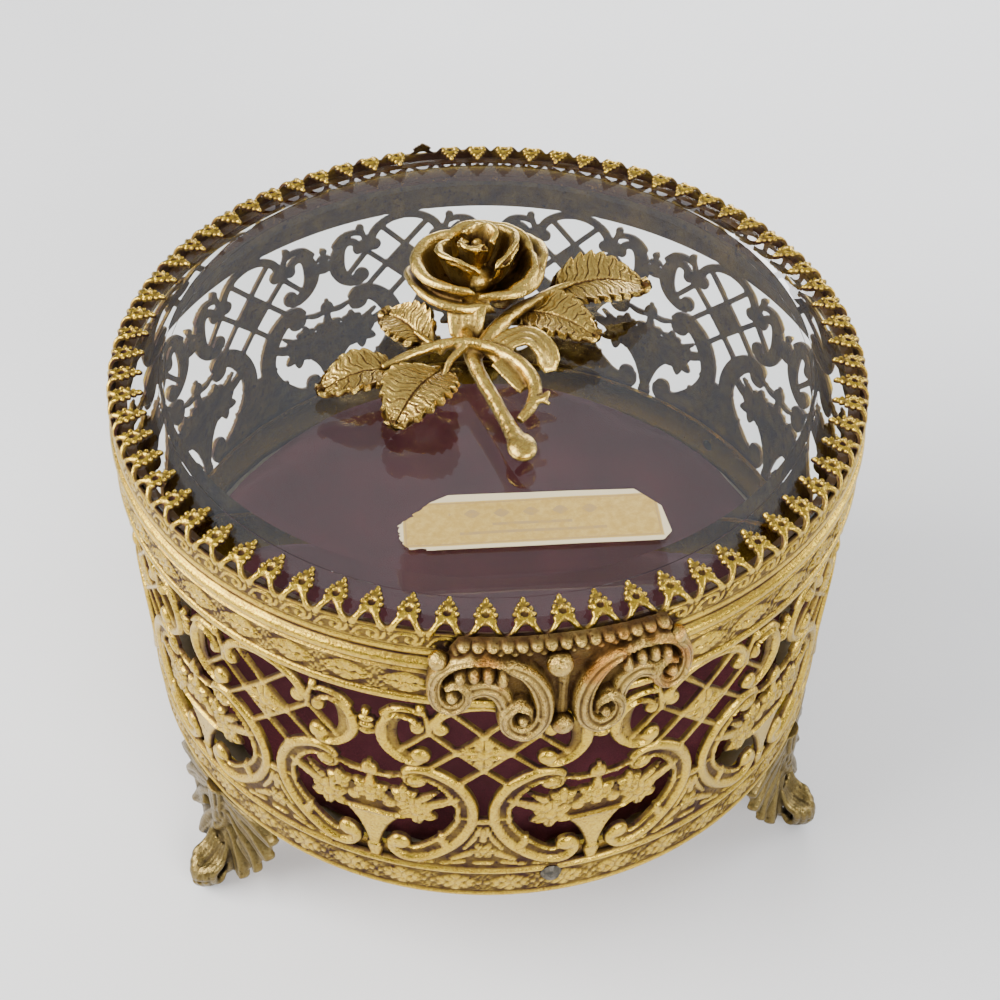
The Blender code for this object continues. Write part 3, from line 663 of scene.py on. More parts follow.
# ---------------------------------------------------------------- stamped ornament
def leaf_band(u, v, period, middle, half):
    """Height of a running border: pointed leaves end to end, with small palmettes between them."""
    x = np.mod(u / period, 1.0) * 2 - 1
    y = (v - middle) / half
    wide = np.clip(1 - np.abs(x) ** 1.35, 0.02, 1)
    share = np.abs(y) / wide
    leaf = bulge(np.minimum(share, 1)) * (1 - 0.8 * np.exp(-(y / 0.09) ** 2))
    veins = 0.42 * np.sin(17 * np.abs(x) - 8 * np.abs(y)) * (share < 0.9)
    corner = np.hypot((1 - np.abs(x)) * period / 2, (1 - np.abs(y)) * half) / (half * 0.82)
    ribs = 0.5 + 0.5 * np.cos(9 * np.arctan2((1 - np.abs(y)) * half, (1 - np.abs(x)) * period / 2))
    palmette = bulge(np.minimum(corner, 1)) * ribs
    return np.clip(np.where(share < 1, leaf + veins, palmette * 0.8), 0, 1.2) * (np.abs(y) < 1.05)


def cartouche(sheet):
    """Circular scroll round the flower vase."""
    sheet.line([(7.4, 57.4, 1.0), (9.7, 57.0, 1.2), (12.0, 55.3, 1.5), (13.7, 52.6, 1.6), (14.8, 49.6, 1.6),
                (15.0, 47.2, 1.5), (14.5, 44.4, 1.5), (12.9, 41.4, 1.5), (10.5, 38.5, 1.5), (8.0, 36.6, 1.4),
                (5.8, 36.2, 1.2)], 0.10, flat_bar)
    sheet.line([(5.4, 57.2, 0.6), (6.6, 58.2, 0.8), (8.8, 58.4, 0.95), (11.3, 57.2, 1.0), (13.8, 54.9, 0.95),
                (15.5, 51.5, 0.90), (16.1, 48.0, 0.88), (15.5, 44.5, 0.85), (13.8, 40.8, 0.85),
                (11.3, 37.8, 0.85), (8.7, 35.8, 0.88), (6.3, 34.9, 0.95), (4.4, 35.2, 1.0), (3.1, 36.6, 1.0),
                (2.9, 38.2, 0.9)], 0.85)
    sheet.line([(8.8, 56.0, 0.3), (10.5, 54.9, 0.42), (12.2, 52.6, 0.48), (13.4, 49.8, 0.48),
                (13.7, 47.2, 0.48), (13.1, 44.8, 0.48), (11.6, 42.2, 0.48), (9.5, 39.8, 0.45),
                (7.6, 38.1, 0.45), (6.0, 37.6, 0.35)], 0.6)
    sheet.oval((7.0, 55.4), 2.05, 1.75, 0.75)
    sheet.groove([(8.7, 56.2, 0.22), (7.2, 56.6, 0.25), (5.8, 55.6, 0.25), (6.4, 54.6, 0.25),
                  (7.5, 54.9, 0.2)], 0.4)
    sheet.oval((4.3, 38.7), 1.8, 1.8, 1.0)
    sheet.line([(12.2, 38.8, 1.1), (11.3, 40.2, 0.85), (10.7, 42.0, 0.35)], 0.65)
    sheet.line([(14.9, 46.9, 0.3), (13.2, 46.9, 0.3)], 0.45, curved=False)


def vase_of_flowers(sheet, mirrored):
    """Vase, drawn as one mirrored half, under a bunch that is not quite symmetrical."""
    mirrored.plate([(-1, 46.0), (4.9, 46.0), (4.6, 44.9), (3.5, 43.6), (2.5, 41.9), (1.75, 39.9),
                    (1.25, 38.0), (1.0, 36.6), (1.45, 35.7), (1.25, 34.6), (0.9, 33.0), (-1, 33.0)], 0.45)
    mirrored.line([(0, 45.5, 0.4), (3, 45.6, 0.4), (5.0, 45.5, 0.4)], 0.8)
    mirrored.line([(0, 36.5, 0.35), (1.0, 36.5, 0.3)], 0.7, curved=False)
    sheet.oval((0, 48.6), 7.6, 2.8, 0.07)
    for side in (-1, 1):
        sheet.flower((side * 7.2, 47.4 + 0.25 * side), 3.7, 6, math.radians(30 + 4 * side), 0.8)
        sheet.flower((side * 5.3, 51.4), 2.4, 5, math.radians(90), 0.85)
        sheet.line([(side * 8.8, 49.2, 1.0), (side * 11.4, 50.4, 1.0), (side * 13.4, 51.6, 0.6)], 0.55,
                   channelled)
        sheet.line([(side * 8.2, 50.8, 0.8), (side * 10.6, 52.9, 0.3)], 0.55, curved=False)
        sheet.line([(side * 1.0, 55.3, 0.5), (side * 3.0, 55.3, 0.6), (side * 5.4, 56.2, 0.3)], 0.55,
                   channelled)
        sheet.oval((side * 2.9, 48.4), 1.2, 1.2, 0.6)
    sheet.flower((0, 50.9), 3.4, 6, math.radians(90), 1.0)
    sheet.line([(0, 53.4, 0.8), (0, 55.4, 0.6)], 0.5, curved=False)
    sheet.oval((0, 56.2), 1.45, 1.6, 0.85)
    sheet.oval((0, 57.9), 0.45, 0.6, 0.6)
    sheet.groove([(0, 55.2, 0.22), (0, 57.6, 0.18)], 0.4)


def upper_scrolls(sheet):
    """Back to back C-scrolls, the rail that arches over the trellis, and the beads between them."""
    sheet.line([(7.7, 68.4, 1.0), (7.0, 69.9, 0.8), (5.3, 70.5, 0.9), (3.7, 69.3, 1.3), (2.95, 66.8, 1.65),
                (3.05, 64.4, 1.65), (4.2, 62.2, 1.4), (6.0, 60.9, 1.2), (7.6, 60.9, 1.2)], 0.9, rimmed)
    sheet.oval((8.1, 61.8), 1.65, 1.65, 1.0)
    sheet.oval((7.7, 68.2), 1.15, 1.15, 0.9)
    sheet.line([(2.4, 70.3, 0.5), (4.3, 71.9, 0.65), (6.6, 72.3, 0.6), (8.3, 71.8, 0.5)], 0.65)
    sheet.line([(9.5, 67.3, 0.65), (9.3, 69.8, 0.6), (8.5, 72.4, 0.55)], 0.5)
    sheet.oval((8.3, 73.1), 0.8, 0.8, 1.0)
    sheet.line([(18.6, 74.4, 0.85), (17.6, 74.4, 0.85), (14.8, 73.9, 0.8), (12.4, 72.6, 0.85),
                (10.9, 70.9, 0.9), (10.6, 69.2, 0.9)], 0.75)
    sheet.oval((11.2, 68.5), 1.35, 1.3, 0.9)
    for height in (65.6, 67.0, 68.4):
        sheet.oval((0, height), 1.5, 0.7, 0.75)
    sheet.oval((0, 70.0), 0.8, 0.75, 1.0)


def trellis(sheet):
    """Crossed bars over the middle of a keyhole, with a square flower where they meet."""
    middle, low, high, centre = HALF, 59.2, 67.2, 63.2
    node = middle - 4.0
    bars = [[(9.5, 67.3), (node, centre), (middle, low)], [(middle, high), (9.0, 58.4)],
            [(middle, high), (13.0, 72.2)], [(middle, low), (13.6, 55.0)], [(9.5, 67.3), (5.0, 62.3)]]
    for bar in bars:
        sheet.line([(u, v, 0.52) for u, v in bar], 0.45, curved=False)
    sheet.plate([(node + 0.6, centre), (middle, centre + 3.4), (19, centre + 3.4), (19, centre - 3.4),
                 (middle, centre - 3.4)], 0.04)
    sheet.flower((middle, centre), 3.5, 4, 0.0, 0.85)
    for u, v in ((middle, low), (middle, high), (node, centre)):
        sheet.oval((u, v), 0.85, 0.85, 0.45)


def wall_filler(sheet):
    """Closed corners under the keyholes, with a small flower and leaves."""
    sheet.plate([(19, 46.4), (16.6, 46.4), (15.6, 44.6), (13.6, 41.0), (11.2, 38.0), (8.6, 35.9), (6.3, 34.9),
                 (4.6, 34.9), (3.9, 33.3), (3.4, 32.0), (19, 32.0)], 0.05)
    sheet.oval((HALF, 46.1), 1.7, 0.8, 0.55)
    sheet.flower((HALF, 38.2), 2.3, 6, 0.0, 0.6)
    for line in ([(17.0, 44.6, 0.35), (16.2, 41.6, 0.5), (14.6, 38.8, 0.4)],
                 [(15.2, 37.4, 0.9), (12.6, 35.7, 0.4)], [(14.4, 35.2, 0.6), (11.0, 34.3, 0.4)],
                 [(HALF, 43.8, 0.5), (HALF, 41.2, 0.7)], [(16.4, 34.9, 0.5), (18.8, 34.9, 0.5)],
                 [(9.4, 34.4, 0.4), (6.4, 33.9, 0.3)]):
        sheet.line(line, 0.5)


def bottom_border(sheet):
    """Plain lower edge, embossed leaves and the rib above them."""
    top = 33.4
    leaves = leaf_band(sheet.u, sheet.v, REPEAT_WIDTH / 4, 29.2, 2.3) * 0.4
    edge_rib = 0.4 * bulge(np.clip((sheet.v - 26.1) / 0.55, -1, 1))
    rib = 0.6 * bulge(np.clip((sheet.v - 32.6) / 0.6, -1, 1))
    sheet.add(sheet.v - top, np.maximum(np.maximum(leaves, edge_rib), rib) + 0.08)


def wall_design(u, v):
    mirrored = Relief(np.abs(u), v)
    whole = Relief(u, v)
    bottom_border(mirrored)
    wall_filler(mirrored)
    cartouche(mirrored)
    upper_scrolls(mirrored)
    trellis(mirrored)
    vase_of_flowers(whole, mirrored)
    mirrored.add(BAND_BOTTOM - 0.2 - v, 0.0)
    mirrored.add(whole.edge, whole.height)
    return mirrored.edge, mirrored.height


def place_on_wall(u, v, height):
    return polar(WALL_RADIUS - 0.35 + height, PATTERN_START + u / WALL_RADIUS, v)


def build_wall():
    """Eleven repeats bent round the box; above them a plain strip hides behind the border band."""
    pattern = even_steps(FLOOR_OF_BOX, BAND_BOTTOM + 0.4, 0.38)
    hidden = np.linspace(BAND_BOTTOM + 2.0, heights("filigree_wall")[1], 4)
    wall = relief_sheet("filigree_wall_stamped", even_steps(-HALF, HALF, 0.38),
                        np.concatenate([pattern, hidden]), wall_design, place_on_wall, 0.42,
                        STAMPED_GOLD, REPEATS)
    use(wall, "box_body", "antique_gold", "filigree_wall")


def use(piece, body, slot, *nodes):
    """Hang a piece on its body and let it stand for its CAD nodes; slot, the name of its finish, is not used.
    """
    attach(piece, body)
    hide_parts(*nodes)


def build_top_band():
    """Round bead under the seam, a field of leaves, and a rolled lower lip."""
    lip = [(62.0 + 0.6 * math.sin(math.radians(a)), 76.0 - 0.8 * math.cos(math.radians(a)))
           for a in range(0, 181, 20)]
    field = [(62.05, z) for z in np.linspace(77.0, 81.7, 17)]
    rule = [(62.3, 81.9), (62.35, 82.1), (62.1, 82.3), (61.95, 82.5)]
    bead = [(61.55 + 1.05 * math.cos(math.radians(a)), 83.6 + 1.05 * math.sin(math.radians(a)))
            for a in range(-60, 76, 12)]
    top = [(61.6, 84.9), (60.3, SEAM), (60.2, SEAM - 0.2), (60.3, SEAM - 0.45), (61.85, SEAM - 0.5)]
    inner = [(BAND_INNER, z) for z in np.linspace(SEAM - 0.8, 75.4, 4)]
    profile = lip + field + rule + bead + top + inner
    zone = np.array([76.95 < z < 81.75 and r == 62.05 for r, z in profile])
    heights_of = np.array([z for _, z in profile])

    def leaves(angle):
        period = 2 * math.pi * STRIP_RADIUS / BORDER_LEAVES
        raised = leaf_band(angle * STRIP_RADIUS, heights_of[None, :], period, 79.35, 2.25)
        return 0.36 * raised * zone[None, :]

    band = turned("top_border_band_embossed", profile, STAMPED_GOLD, steps=BAND_STEPS, swell=leaves)
    relief = 0.55 * np.ones((BAND_STEPS, len(profile)))
    around = np.arange(BAND_STEPS)[:, None] * 2 * math.pi / BAND_STEPS
    relief[:, zone] = leaves(around)[:, zone] * 2.2
    # Painted shade with patina: the groove under the bead and the band's top at the seam, under the lid
    # strip, are marked lowest and take the dark colour.
    under_bead = len(lip) + len(field) + len(rule) - 1
    relief[:, under_bead] = 0.0
    relief[:, heights_of > 84.6] = 0.0
    mark_relief(band, relief.ravel())
    use(band, "box_body", "antique_gold", "top_border_band")


# ---------------------------------------------------------------- lid
def prong_design(u, v):
    """One pitch of the lid strip: embossed scroll band, splayed legs and a beaded leaf head."""
    sheet = Relief(np.abs(u), v)
    low = STRIP_LOW - STRIP_TOP
    sheet.add(v, 0.06 + 0.24 * bulge(np.clip((v - low - 0.75) / 0.55, -1, 1)))
    sheet.line([(0, -0.15, 0.25), (3, -0.15, 0.25)], 0.2, curved=False)
    sheet.line([(0, -3.2, 0.15), (3, -3.2, 0.15)], 0.16, curved=False)
    sheet.line([(2.2, -0.4, 0.55), (1.5, 1.0, 0.48), (0.6, 2.6, 0.6)], 0.32, curved=False)
    sheet.oval((0, 3.5), 1.5, 1.75, 0.14)
    sheet.plate([(-1, 4.0), (1.2, 4.0), (0.35, 6.4), (-1, 6.4)], 0.12)
    beads = ((1.25, 2.6, 0.38), (1.42, 3.6, 0.40), (1.12, 4.6, 0.38), (0.66, 5.5, 0.36))
    for u_bead, v_bead, radius in beads:
        sheet.oval((u_bead, v_bead), radius, radius, 0.42)
    sheet.oval((0, 6.25), 0.5, 0.62, 0.5)
    ring = np.hypot(u, v - 3.55) - 0.82
    sheet.height = np.where(ring < 0, 0.0, sheet.height)
    sheet.height = np.maximum(sheet.height, 0.42 * bulge(np.clip(ring / 0.28, -1, 1)))
    whole = Relief(u, v)
    whole.line([(-2.4, -2.75, 0.2), (-1.2, -1.2, 0.28), (0.7, -0.85, 0.3), (1.5, -1.7, 0.3),
                (0.8, -2.5, 0.28), (0.0, -2.1, 0.25), (0.3, -1.6, 0.2)], 0.34)
    whole.line([(1.2, -2.8, 0.25), (2.2, -2.2, 0.3), (2.5, -1.1, 0.15)], 0.3)
    whole.oval((-1.5, -2.6), 0.42, 0.35, 0.3)
    whole.oval((-2.3, -1.2), 0.35, 0.3, 0.28)
    return sheet.edge, np.maximum(sheet.height, whole.height * (v < -0.4))


def build_gallery():
    """The strip stands under the rim, and its prongs bend in over the glass; one prong stands up."""
    low = STRIP_LOW - STRIP_TOP
    follow = path_mapper([(low, STRIP_RADIUS, STRIP_LOW), (-2.0, STRIP_RADIUS, STRIP_TOP - 2.0),
                          (0.0, STRIP_RADIUS, STRIP_TOP), (1.0, 61.75, 91.0), (2.1, 60.9, 91.65),
                          (4.4, 58.7, 91.95), (6.9, 56.15, 91.75)])

    def place(u, v, height):
        radius, level, out, up = follow(v)
        angle = u / STRIP_RADIUS
        lifted = (np.abs(angle - RAISED_PRONG) < math.pi / PRONGS) & (v > 0.4)
        radius = np.where(lifted, STRIP_RADIUS - 0.30 * v + height, radius + out * (height - 0.25))
        level = np.where(lifted, STRIP_TOP + 0.5 * v, level + up * (height - 0.25))
        return polar(radius, angle, level)

    half = PRONG_PITCH / 2
    strip = relief_sheet("prong_gallery_stamped", even_steps(-half, half, 0.23), even_steps(low, 6.95, 0.24),
                         prong_design, place, 0.32, STAMPED_GOLD, PRONGS, roll=0.22)
    use(strip, "lid", "antique_gold", "prong_gallery")


def weld(piece, reach):
    """Close the poles of a turned piece: join points within reach, in millimetres."""
    bm = bmesh.new()
    bm.from_mesh(piece.data)
    bmesh.ops.remove_doubles(bm, verts=bm.verts, dist=reach * MM)
    bmesh.ops.recalc_face_normals(bm, faces=bm.faces)
    bm.to_mesh(piece.data)
    bm.free()


def build_glass_and_seat():
    """Disc of glass with a wide bevel, on an angle ring that carries it inside the lid."""
    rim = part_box("bevelled_glass")[1].x / MM
    bevel_start = 53.0
    bevel_slope = 0.385
    edge_top = GLASS_TOP - (rim - bevel_start) * bevel_slope
    outline = rounded([(bevel_start, GLASS_TOP), (rim, edge_top), (rim, GLASS_LOW), (bevel_start, GLASS_LOW)],
                      0.12, 2)
    profile = [(0.0005, GLASS_TOP)] + outline + [(0.0005, GLASS_LOW)]
    glass = turned("bevelled_glass_disc", profile, GLASS, sharp=12)
    weld(glass, 0.002)
    use(glass, "lid", "bevelled_glass", "bevelled_glass")
    inner, step, outer = 58.3, 59.3, 61.1
    low, ledge, top = 82.5, 85.3, 86.7
    angle_bar = [(inner, low), (step, low), (step, ledge), (outer, ledge), (outer, top), (inner, top)]
    seat = turned("glass_seat_ring_turned", rounded(angle_bar, 0.2, 2), SMOOTH_GOLD)
    use(seat, "lid", "antique_gold", "glass_seat_ring")


def joined(name, pieces):
    """Join several pieces into one object."""
    first = pieces[0]
    with bpy.context.temp_override(active_object=first, object=first, selected_objects=pieces,
                                   selected_editable_objects=pieces):
        bpy.ops.object.join()
    first.name = name
    first.data.name = name
    return first


def evaluated_mesh(piece):
    """New mesh with the piece's modifiers applied at the current frame."""
    bpy.context.view_layer.update()
    graph = bpy.context.evaluated_depsgraph_get()
    return bpy.data.meshes.new_from_object(piece.evaluated_get(graph))


def apply_modifiers(piece):
    baked = evaluated_mesh(piece)
    piece.modifiers.clear()
    piece.data = baked
    return piece


def fused(piece, grain=0.28, rounds=3):
    """Melt overlapping shells into one casting, as it comes from the mould."""
    remesh = piece.modifiers.new("Fuse", "REMESH")
    remesh.mode = "VOXEL"
    remesh.voxel_size = grain * MM
    smooth = piece.modifiers.new("Polish", "SMOOTH")
    smooth.factor = 0.4
    smooth.iterations = rounds
    material = piece.data.materials[0]
    apply_modifiers(piece)
    piece.data.materials.clear()
    piece.data.materials.append(material)
    piece.data.shade_smooth()
    return piece


def ball(centre, radius, material, squash=(1, 1, 1)):
    """Ball at a point in metres, with its radius in millimetres."""
    bm = bmesh.new()
    bmesh.ops.create_icosphere(bm, subdivisions=4, radius=radius * MM)
    bmesh.ops.scale(bm, verts=bm.verts, vec=squash)
    bmesh.ops.translate(bm, verts=bm.verts, vec=Vector(centre))
    points = [tuple(v.co) for v in bm.verts]
    faces = [[v.index for v in f.verts] for f in bm.faces]
    bm.free()
    piece = finish_mesh("ball", points, faces, material)
    mark_relief(piece, 1.0)
    return piece


def swept(points, material, sides=14, per_step=5, bark=0.0):
    """Closed round bar through (x, y, z, radius) rows in millimetres; bark makes it uneven."""
    line = smooth_line(points, per_step)
    centres = line[:, :3]
    ahead = np.gradient(centres, axis=0)
    ahead /= np.linalg.norm(ahead, axis=1)[:, None]
    side = np.cross(ahead, (0, 0, 1.0))
    side /= np.maximum(np.linalg.norm(side, axis=1)[:, None], 1e-6)
    over = np.cross(side, ahead)
    turn = np.arange(sides) * 2 * math.pi / sides
    ripple = 1 + bark * np.sin(np.arange(len(line)) * 1.9)[:, None] * np.cos(3 * turn)[None, :]
    radius = line[:, 3][:, None] * ripple
    ring = (centres[:, None] + side[:, None] * (radius * np.cos(turn))[..., None]
            + over[:, None] * (radius * np.sin(turn))[..., None])
    points = np.vstack([ring.reshape(-1, 3), centres[:1], centres[-1:]]) * MM
    faces = []
    count = len(line)
    for step in range(count - 1):
        for k in range(sides):
            after = (k + 1) % sides
            faces.append([step * sides + k, step * sides + after, (step + 1) * sides + after,
                          (step + 1) * sides + k])
    for k in range(sides):
        after = (k + 1) % sides
        faces.append([count * sides, after, k])
        faces.append([count * sides + 1, (count - 1) * sides + k, (count - 1) * sides + after])
    return finish_mesh("bar", points.tolist(), faces, material)


def thick_sheet(front, thickness, material, name="sheet"):
    """Closed shell behind a grid of points in millimetres."""
    along = np.gradient(front, axis=0)
    across = np.gradient(front, axis=1)
    normal = np.cross(along, across)
    normal /= np.maximum(np.linalg.norm(normal, axis=2)[..., None], 1e-9)
    back = front - normal * np.broadcast_to(thickness, front.shape[:2])[..., None]
    rows, columns = front.shape[:2]
    total = rows * columns
    i, j = np.meshgrid(np.arange(rows - 1), np.arange(columns - 1), indexing="ij")
    a, b = i * columns + j, (i + 1) * columns + j
    c, d = b + 1, a + 1
    faces = [np.stack([a, b, c, d], -1).reshape(-1, 4), np.stack([a, d, c, b], -1).reshape(-1, 4) + total]
    loop = ([k * columns for k in range(rows)] + [(rows - 1) * columns + k for k in range(1, columns)]
            + [k * columns + columns - 1 for k in range(rows - 2, -1, -1)] + list(range(columns - 2, 0, -1)))
    start = np.array(loop)
    end = np.roll(start, -1)
    faces.append(np.stack([end, start, start + total, end + total], -1))
    points = np.concatenate([front.reshape(-1, 3), back.reshape(-1, 3)]) * MM
    return finish_mesh(name, points.tolist(), np.vstack(faces).tolist(), material)


# ---------------------------------------------------------------- clasp
def fluted(across):
    """Round band with three fine grooves along it."""
    return bulge(across) * (0.92 + 0.08 * np.cos(3 * math.pi * across))


def clasp_design(u, v):
    """Two volutes on each side joined by a fluted strap, bulbs above it and two rows of beads on top."""
    sheet = Relief(np.abs(u), v)
    sheet.plate([(-1, 91.4), (14.4, 91.2), (15.6, 89.0), (16.4, 84.6), (13.5, 81.5), (10.0, 82.5),
                 (7.5, 80.0), (2.4, 79.0), (1.3, 76.0), (-1, 75.2)], 0.35)
    sheet.line([(13.6, 79.4, 1.2), (12.7, 81.3, 1.6), (10.7, 82.2, 1.85), (8.8, 81.0, 1.8), (7.9, 78.4, 1.5),
                (7.6, 76.0, 1.3)], 1.9, fluted)
    sheet.line([(7.8, 87.7, 0.6), (11.0, 88.5, 0.75), (14.4, 87.7, 1.0), (16.9, 85.2, 1.2),
                (17.6, 81.8, 1.35), (16.9, 78.8, 1.4), (15.0, 78.0, 1.3), (13.4, 79.6, 1.1),
                (13.2, 81.8, 1.0), (14.4, 83.4, 0.9),
                (15.8, 82.8, 0.8)], 2.4, fluted)
    sheet.oval((15.1, 81.3), 1.2, 1.3, 3.0)
    sheet.line([(7.2, 87.2, 1.3), (5.0, 85.4, 1.55), (3.4, 82.2, 1.7), (2.7, 78.4, 1.75), (3.2, 74.8, 1.75),
                (5.2, 72.7, 1.75), (7.4, 74.0, 1.5), (7.9, 76.8, 1.25), (6.6, 78.9, 1.1), (4.8, 78.2, 0.95),
                (4.5, 76.6, 0.8)], 2.7, fluted)
    sheet.oval((5.6, 76.6), 1.05, 1.15, 3.3)
    for middle, level, half in ((8.4, 85.2, 1.9), (10.3, 85.9, 1.7), (12.2, 85.9, 1.6), (14.0, 85.4, 1.4)):
        sheet.oval((middle, level), 1.08, half, 3.0)
    for index in range(8):
        sheet.oval((1.95 * index, 90.5), 1.05, 0.85, 1.7)
        sheet.oval((0.97 + 1.95 * index, 89.1), 0.7, 0.55, 1.1)
    sheet.line([(0, 85.0, 1.2), (0, 80.0, 0.9), (0, 76.0, 1.1)], 0.9, fluted)
    return sheet.edge, sheet.height


def build_clasp():
    """Cast plate bent round the lid, with four round knobs on it."""
    def place(u, v, height):
        return polar(CLASP_RADIUS + 0.45 + height, (u + CLASP_SHIFT) / CLASP_RADIUS, v)

    plate = relief_sheet("clasp_plate", even_steps(-19.2, 19.2, 0.22), even_steps(70.6, 91.8, 0.22),
                         clasp_design, place, 0.5, CLASP_GOLD, roll=0.5)
    pieces = [plate]
    for u, v, reach, radius in ((-1.3, 87.6, 65.0, 1.9), (-0.4, 73.9, 64.4, 1.75),
                                (-17.4, 87.6, 64.3, 1.45), (15.4, 87.3, 64.3, 1.45)):
        pieces.append(ball(polar(reach, u / CLASP_RADIUS, v), radius, CLASP_GOLD))
    use(joined("clasp_ornament_cast", pieces), "lid", "cast_gold", "clasp_ornament")


# ---------------------------------------------------------------- feet
def foot_design(u, v):
    """Acanthus: a hanging tongue, four pairs of side lobes and a stem that runs to the toe."""
    sheet = Relief(np.abs(u), v)
    top = FLOOR_OF_BOX - 0.4
    sheet.plate([(-1, top), (13.2, top), (13.8, 21.4), (12.4, 16.2), (9.4, 10.8), (6.2, 6.2), (3.6, 4.0),
                 (-1, 4.0)], 0.1)
    for line in ([(3.2, 24.4, 1.4), (9.4, 23.2, 2.0), (13.4, 21.4, 1.2)],
                 [(3.4, 22.2, 1.4), (8.4, 19.2, 2.0), (12.2, 16.2, 1.2)],
                 [(3.0, 19.2, 1.4), (6.6, 14.8, 1.9), (9.4, 10.8, 1.2)],
                 [(2.4, 14.6, 1.2), (4.8, 9.6, 1.6), (6.2, 6.2, 1.1)]):
        sheet.line(line, 1.5, channelled)
        sheet.groove([(u0 * 0.98, v0 - 0.9, 0.22) for u0, v0, _ in line], 0.4)
    sheet.line([(0, 25.0, 2.6), (0, 20.6, 3.1), (0, 16.6, 2.7), (0, 14.4, 1.6)], 2.2)
    for side in (0.0, 1.0, 2.0):
        sheet.groove([(side * 1.05, 24.6, 0.26), (side * 0.9, 19.0, 0.3), (side * 0.4, 14.8, 0.2)], 0.6)
    sheet.line([(1.6, 13.4, 0.7), (2.6, 9.0, 0.9), (2.6, 5.0, 0.9), (1.6, 2.6, 0.7)], 1.5)
    hole = np.hypot((np.abs(u) - 4.2) / 0.9, (v - 16.0) / 1.3) - 1
    return np.maximum(sheet.edge, -0.9 * hole), sheet.height


def build_foot(side, angle, swing):
    """Cast leaf on its tab; swing turns the leaf a little from the line of its rivet."""
    turn = math.radians(angle + swing)

    def place(u, v, height):
        drop = np.clip((FLOOR_OF_BOX - v) / FLOOR_OF_BOX, 0, 1)
        wave = 0.35 * np.cos(u * 1.15) * drop
        return polar(WALL_RADIUS - 0.9 + 3.4 * drop ** 2.4 + wave + height * (1 - 0.15 * drop),
                     turn + u / WALL_RADIUS, v)

    leaf = relief_sheet("leaf", even_steps(-15.0, 15.0, 0.32), even_steps(1.8, FLOOR_OF_BOX - 0.38, 0.32),
                        foot_design, place, 0.75, FOOT_GOLD, roll=0.6)
    pieces = [leaf]
    stretch = 1.0 if side == "back" else 1.25  # how far the curled toe reaches out
    for lobe in range(-3, 4):
        spread = abs(lobe) / 3
        rows = []
        for r, z, thick in ((62.6, 9.0, 0.5), (63.7, 6.6, 0.85), (65.2, 5.4, 1.05), (66.7, 4.9, 1.1),
                            (67.3, 3.6, 1.05), (66.9, 1.7, 1.0), (65.4, 0.8, 0.95), (64.2, 2.2, 0.7)):
            reach = 63.4 + (r - 63.4) * (stretch - 0.45 * spread ** 2)
            rows.append((*(polar(reach, turn + lobe * (0.75 + 0.1 * (z > 3)) / 62.0, z + 1.4 * spread) / MM),
                         thick * (1 - 0.2 * spread)))
        pieces.append(swept(rows, FOOT_GOLD, 10, per_step=3))
    pieces.append(ball(polar(65.2, turn, 3.1), 1.9, FOOT_GOLD))
    rivet_turn = math.radians(angle)
    outward = np.array([math.sin(rivet_turn), -math.cos(rivet_turn), 0])
    across = np.array([math.cos(rivet_turn), math.sin(rivet_turn), 0])
    tab_inner, tab_outer, tab_half, tab_thick = 50.2, 61.0, 5.5, 1.1
    grid = (np.linspace(tab_inner, tab_outer, 14)[:, None, None] * outward
            + np.linspace(-tab_half, tab_half, 12)[None, :, None] * across)
    grid[..., 2] = FLOOR_OF_BOX - 0.35
    pieces.append(thick_sheet(grid, tab_thick, FOOT_GOLD, "tab"))
    foot = fused(joined(f"foot_{side}_acanthus", pieces), 0.28, 2)
    keep_above(foot, 0.02)
    use(foot, "box_body", "cast_gold", f"foot_{side}")


def keep_above(piece, level):
    """Flatten whatever would reach under the ground."""
    for vert in piece.data.vertices:
        vert.co.z = max(vert.co.z, level * MM)


# ---------------------------------------------------------------- rose
BLOOM_CENTRE = np.array([-0.5, 10.2, ORNAMENT_LOW])


def petal(direction, half_width, stations, tuck=0.10, dip=2.0, ruffle=0.4, seed=0.0, thickness=1.1,
          spiral=0.0, offset=(0.0, 0.0)):
    """Cupped petal: a (radius, height) line swept round the bloom, lower and closer at its sides."""
    line = smooth_line(stations, 6)
    s = np.linspace(-1, 1, 48)[None, :]
    t = np.linspace(0, 1, len(line))[:, None]
    radius = line[:, 0][:, None] * (1 - tuck * s ** 2 * t) * (1 - spiral * s)
    height = line[:, 1][:, None] - dip * np.abs(s) ** 3 * t ** 1.5
    radius = radius + ruffle * np.sin(4.1 * s + seed) * t ** 2
    radius = radius + 0.20 * np.sin(15 * s + seed) * t * (1 - t ** 4)
    height = height + ruffle * np.cos(3.3 * s + 1.7 * seed) * t ** 2
    angle = math.radians(direction) + math.radians(half_width) * s * (0.72 + 0.28 * t)
    front = polar(radius, angle, height) / MM + BLOOM_CENTRE + np.array([*offset, 0.0])
    return thick_sheet(front, thickness * (0.75 + 0.45 * t), CAST_GOLD, "petal")


def scaled(stations, radial, lift=0.0):
    """A petal's line made wider and lifted."""
    return [(r * radial, z + lift) for r, z in stations]


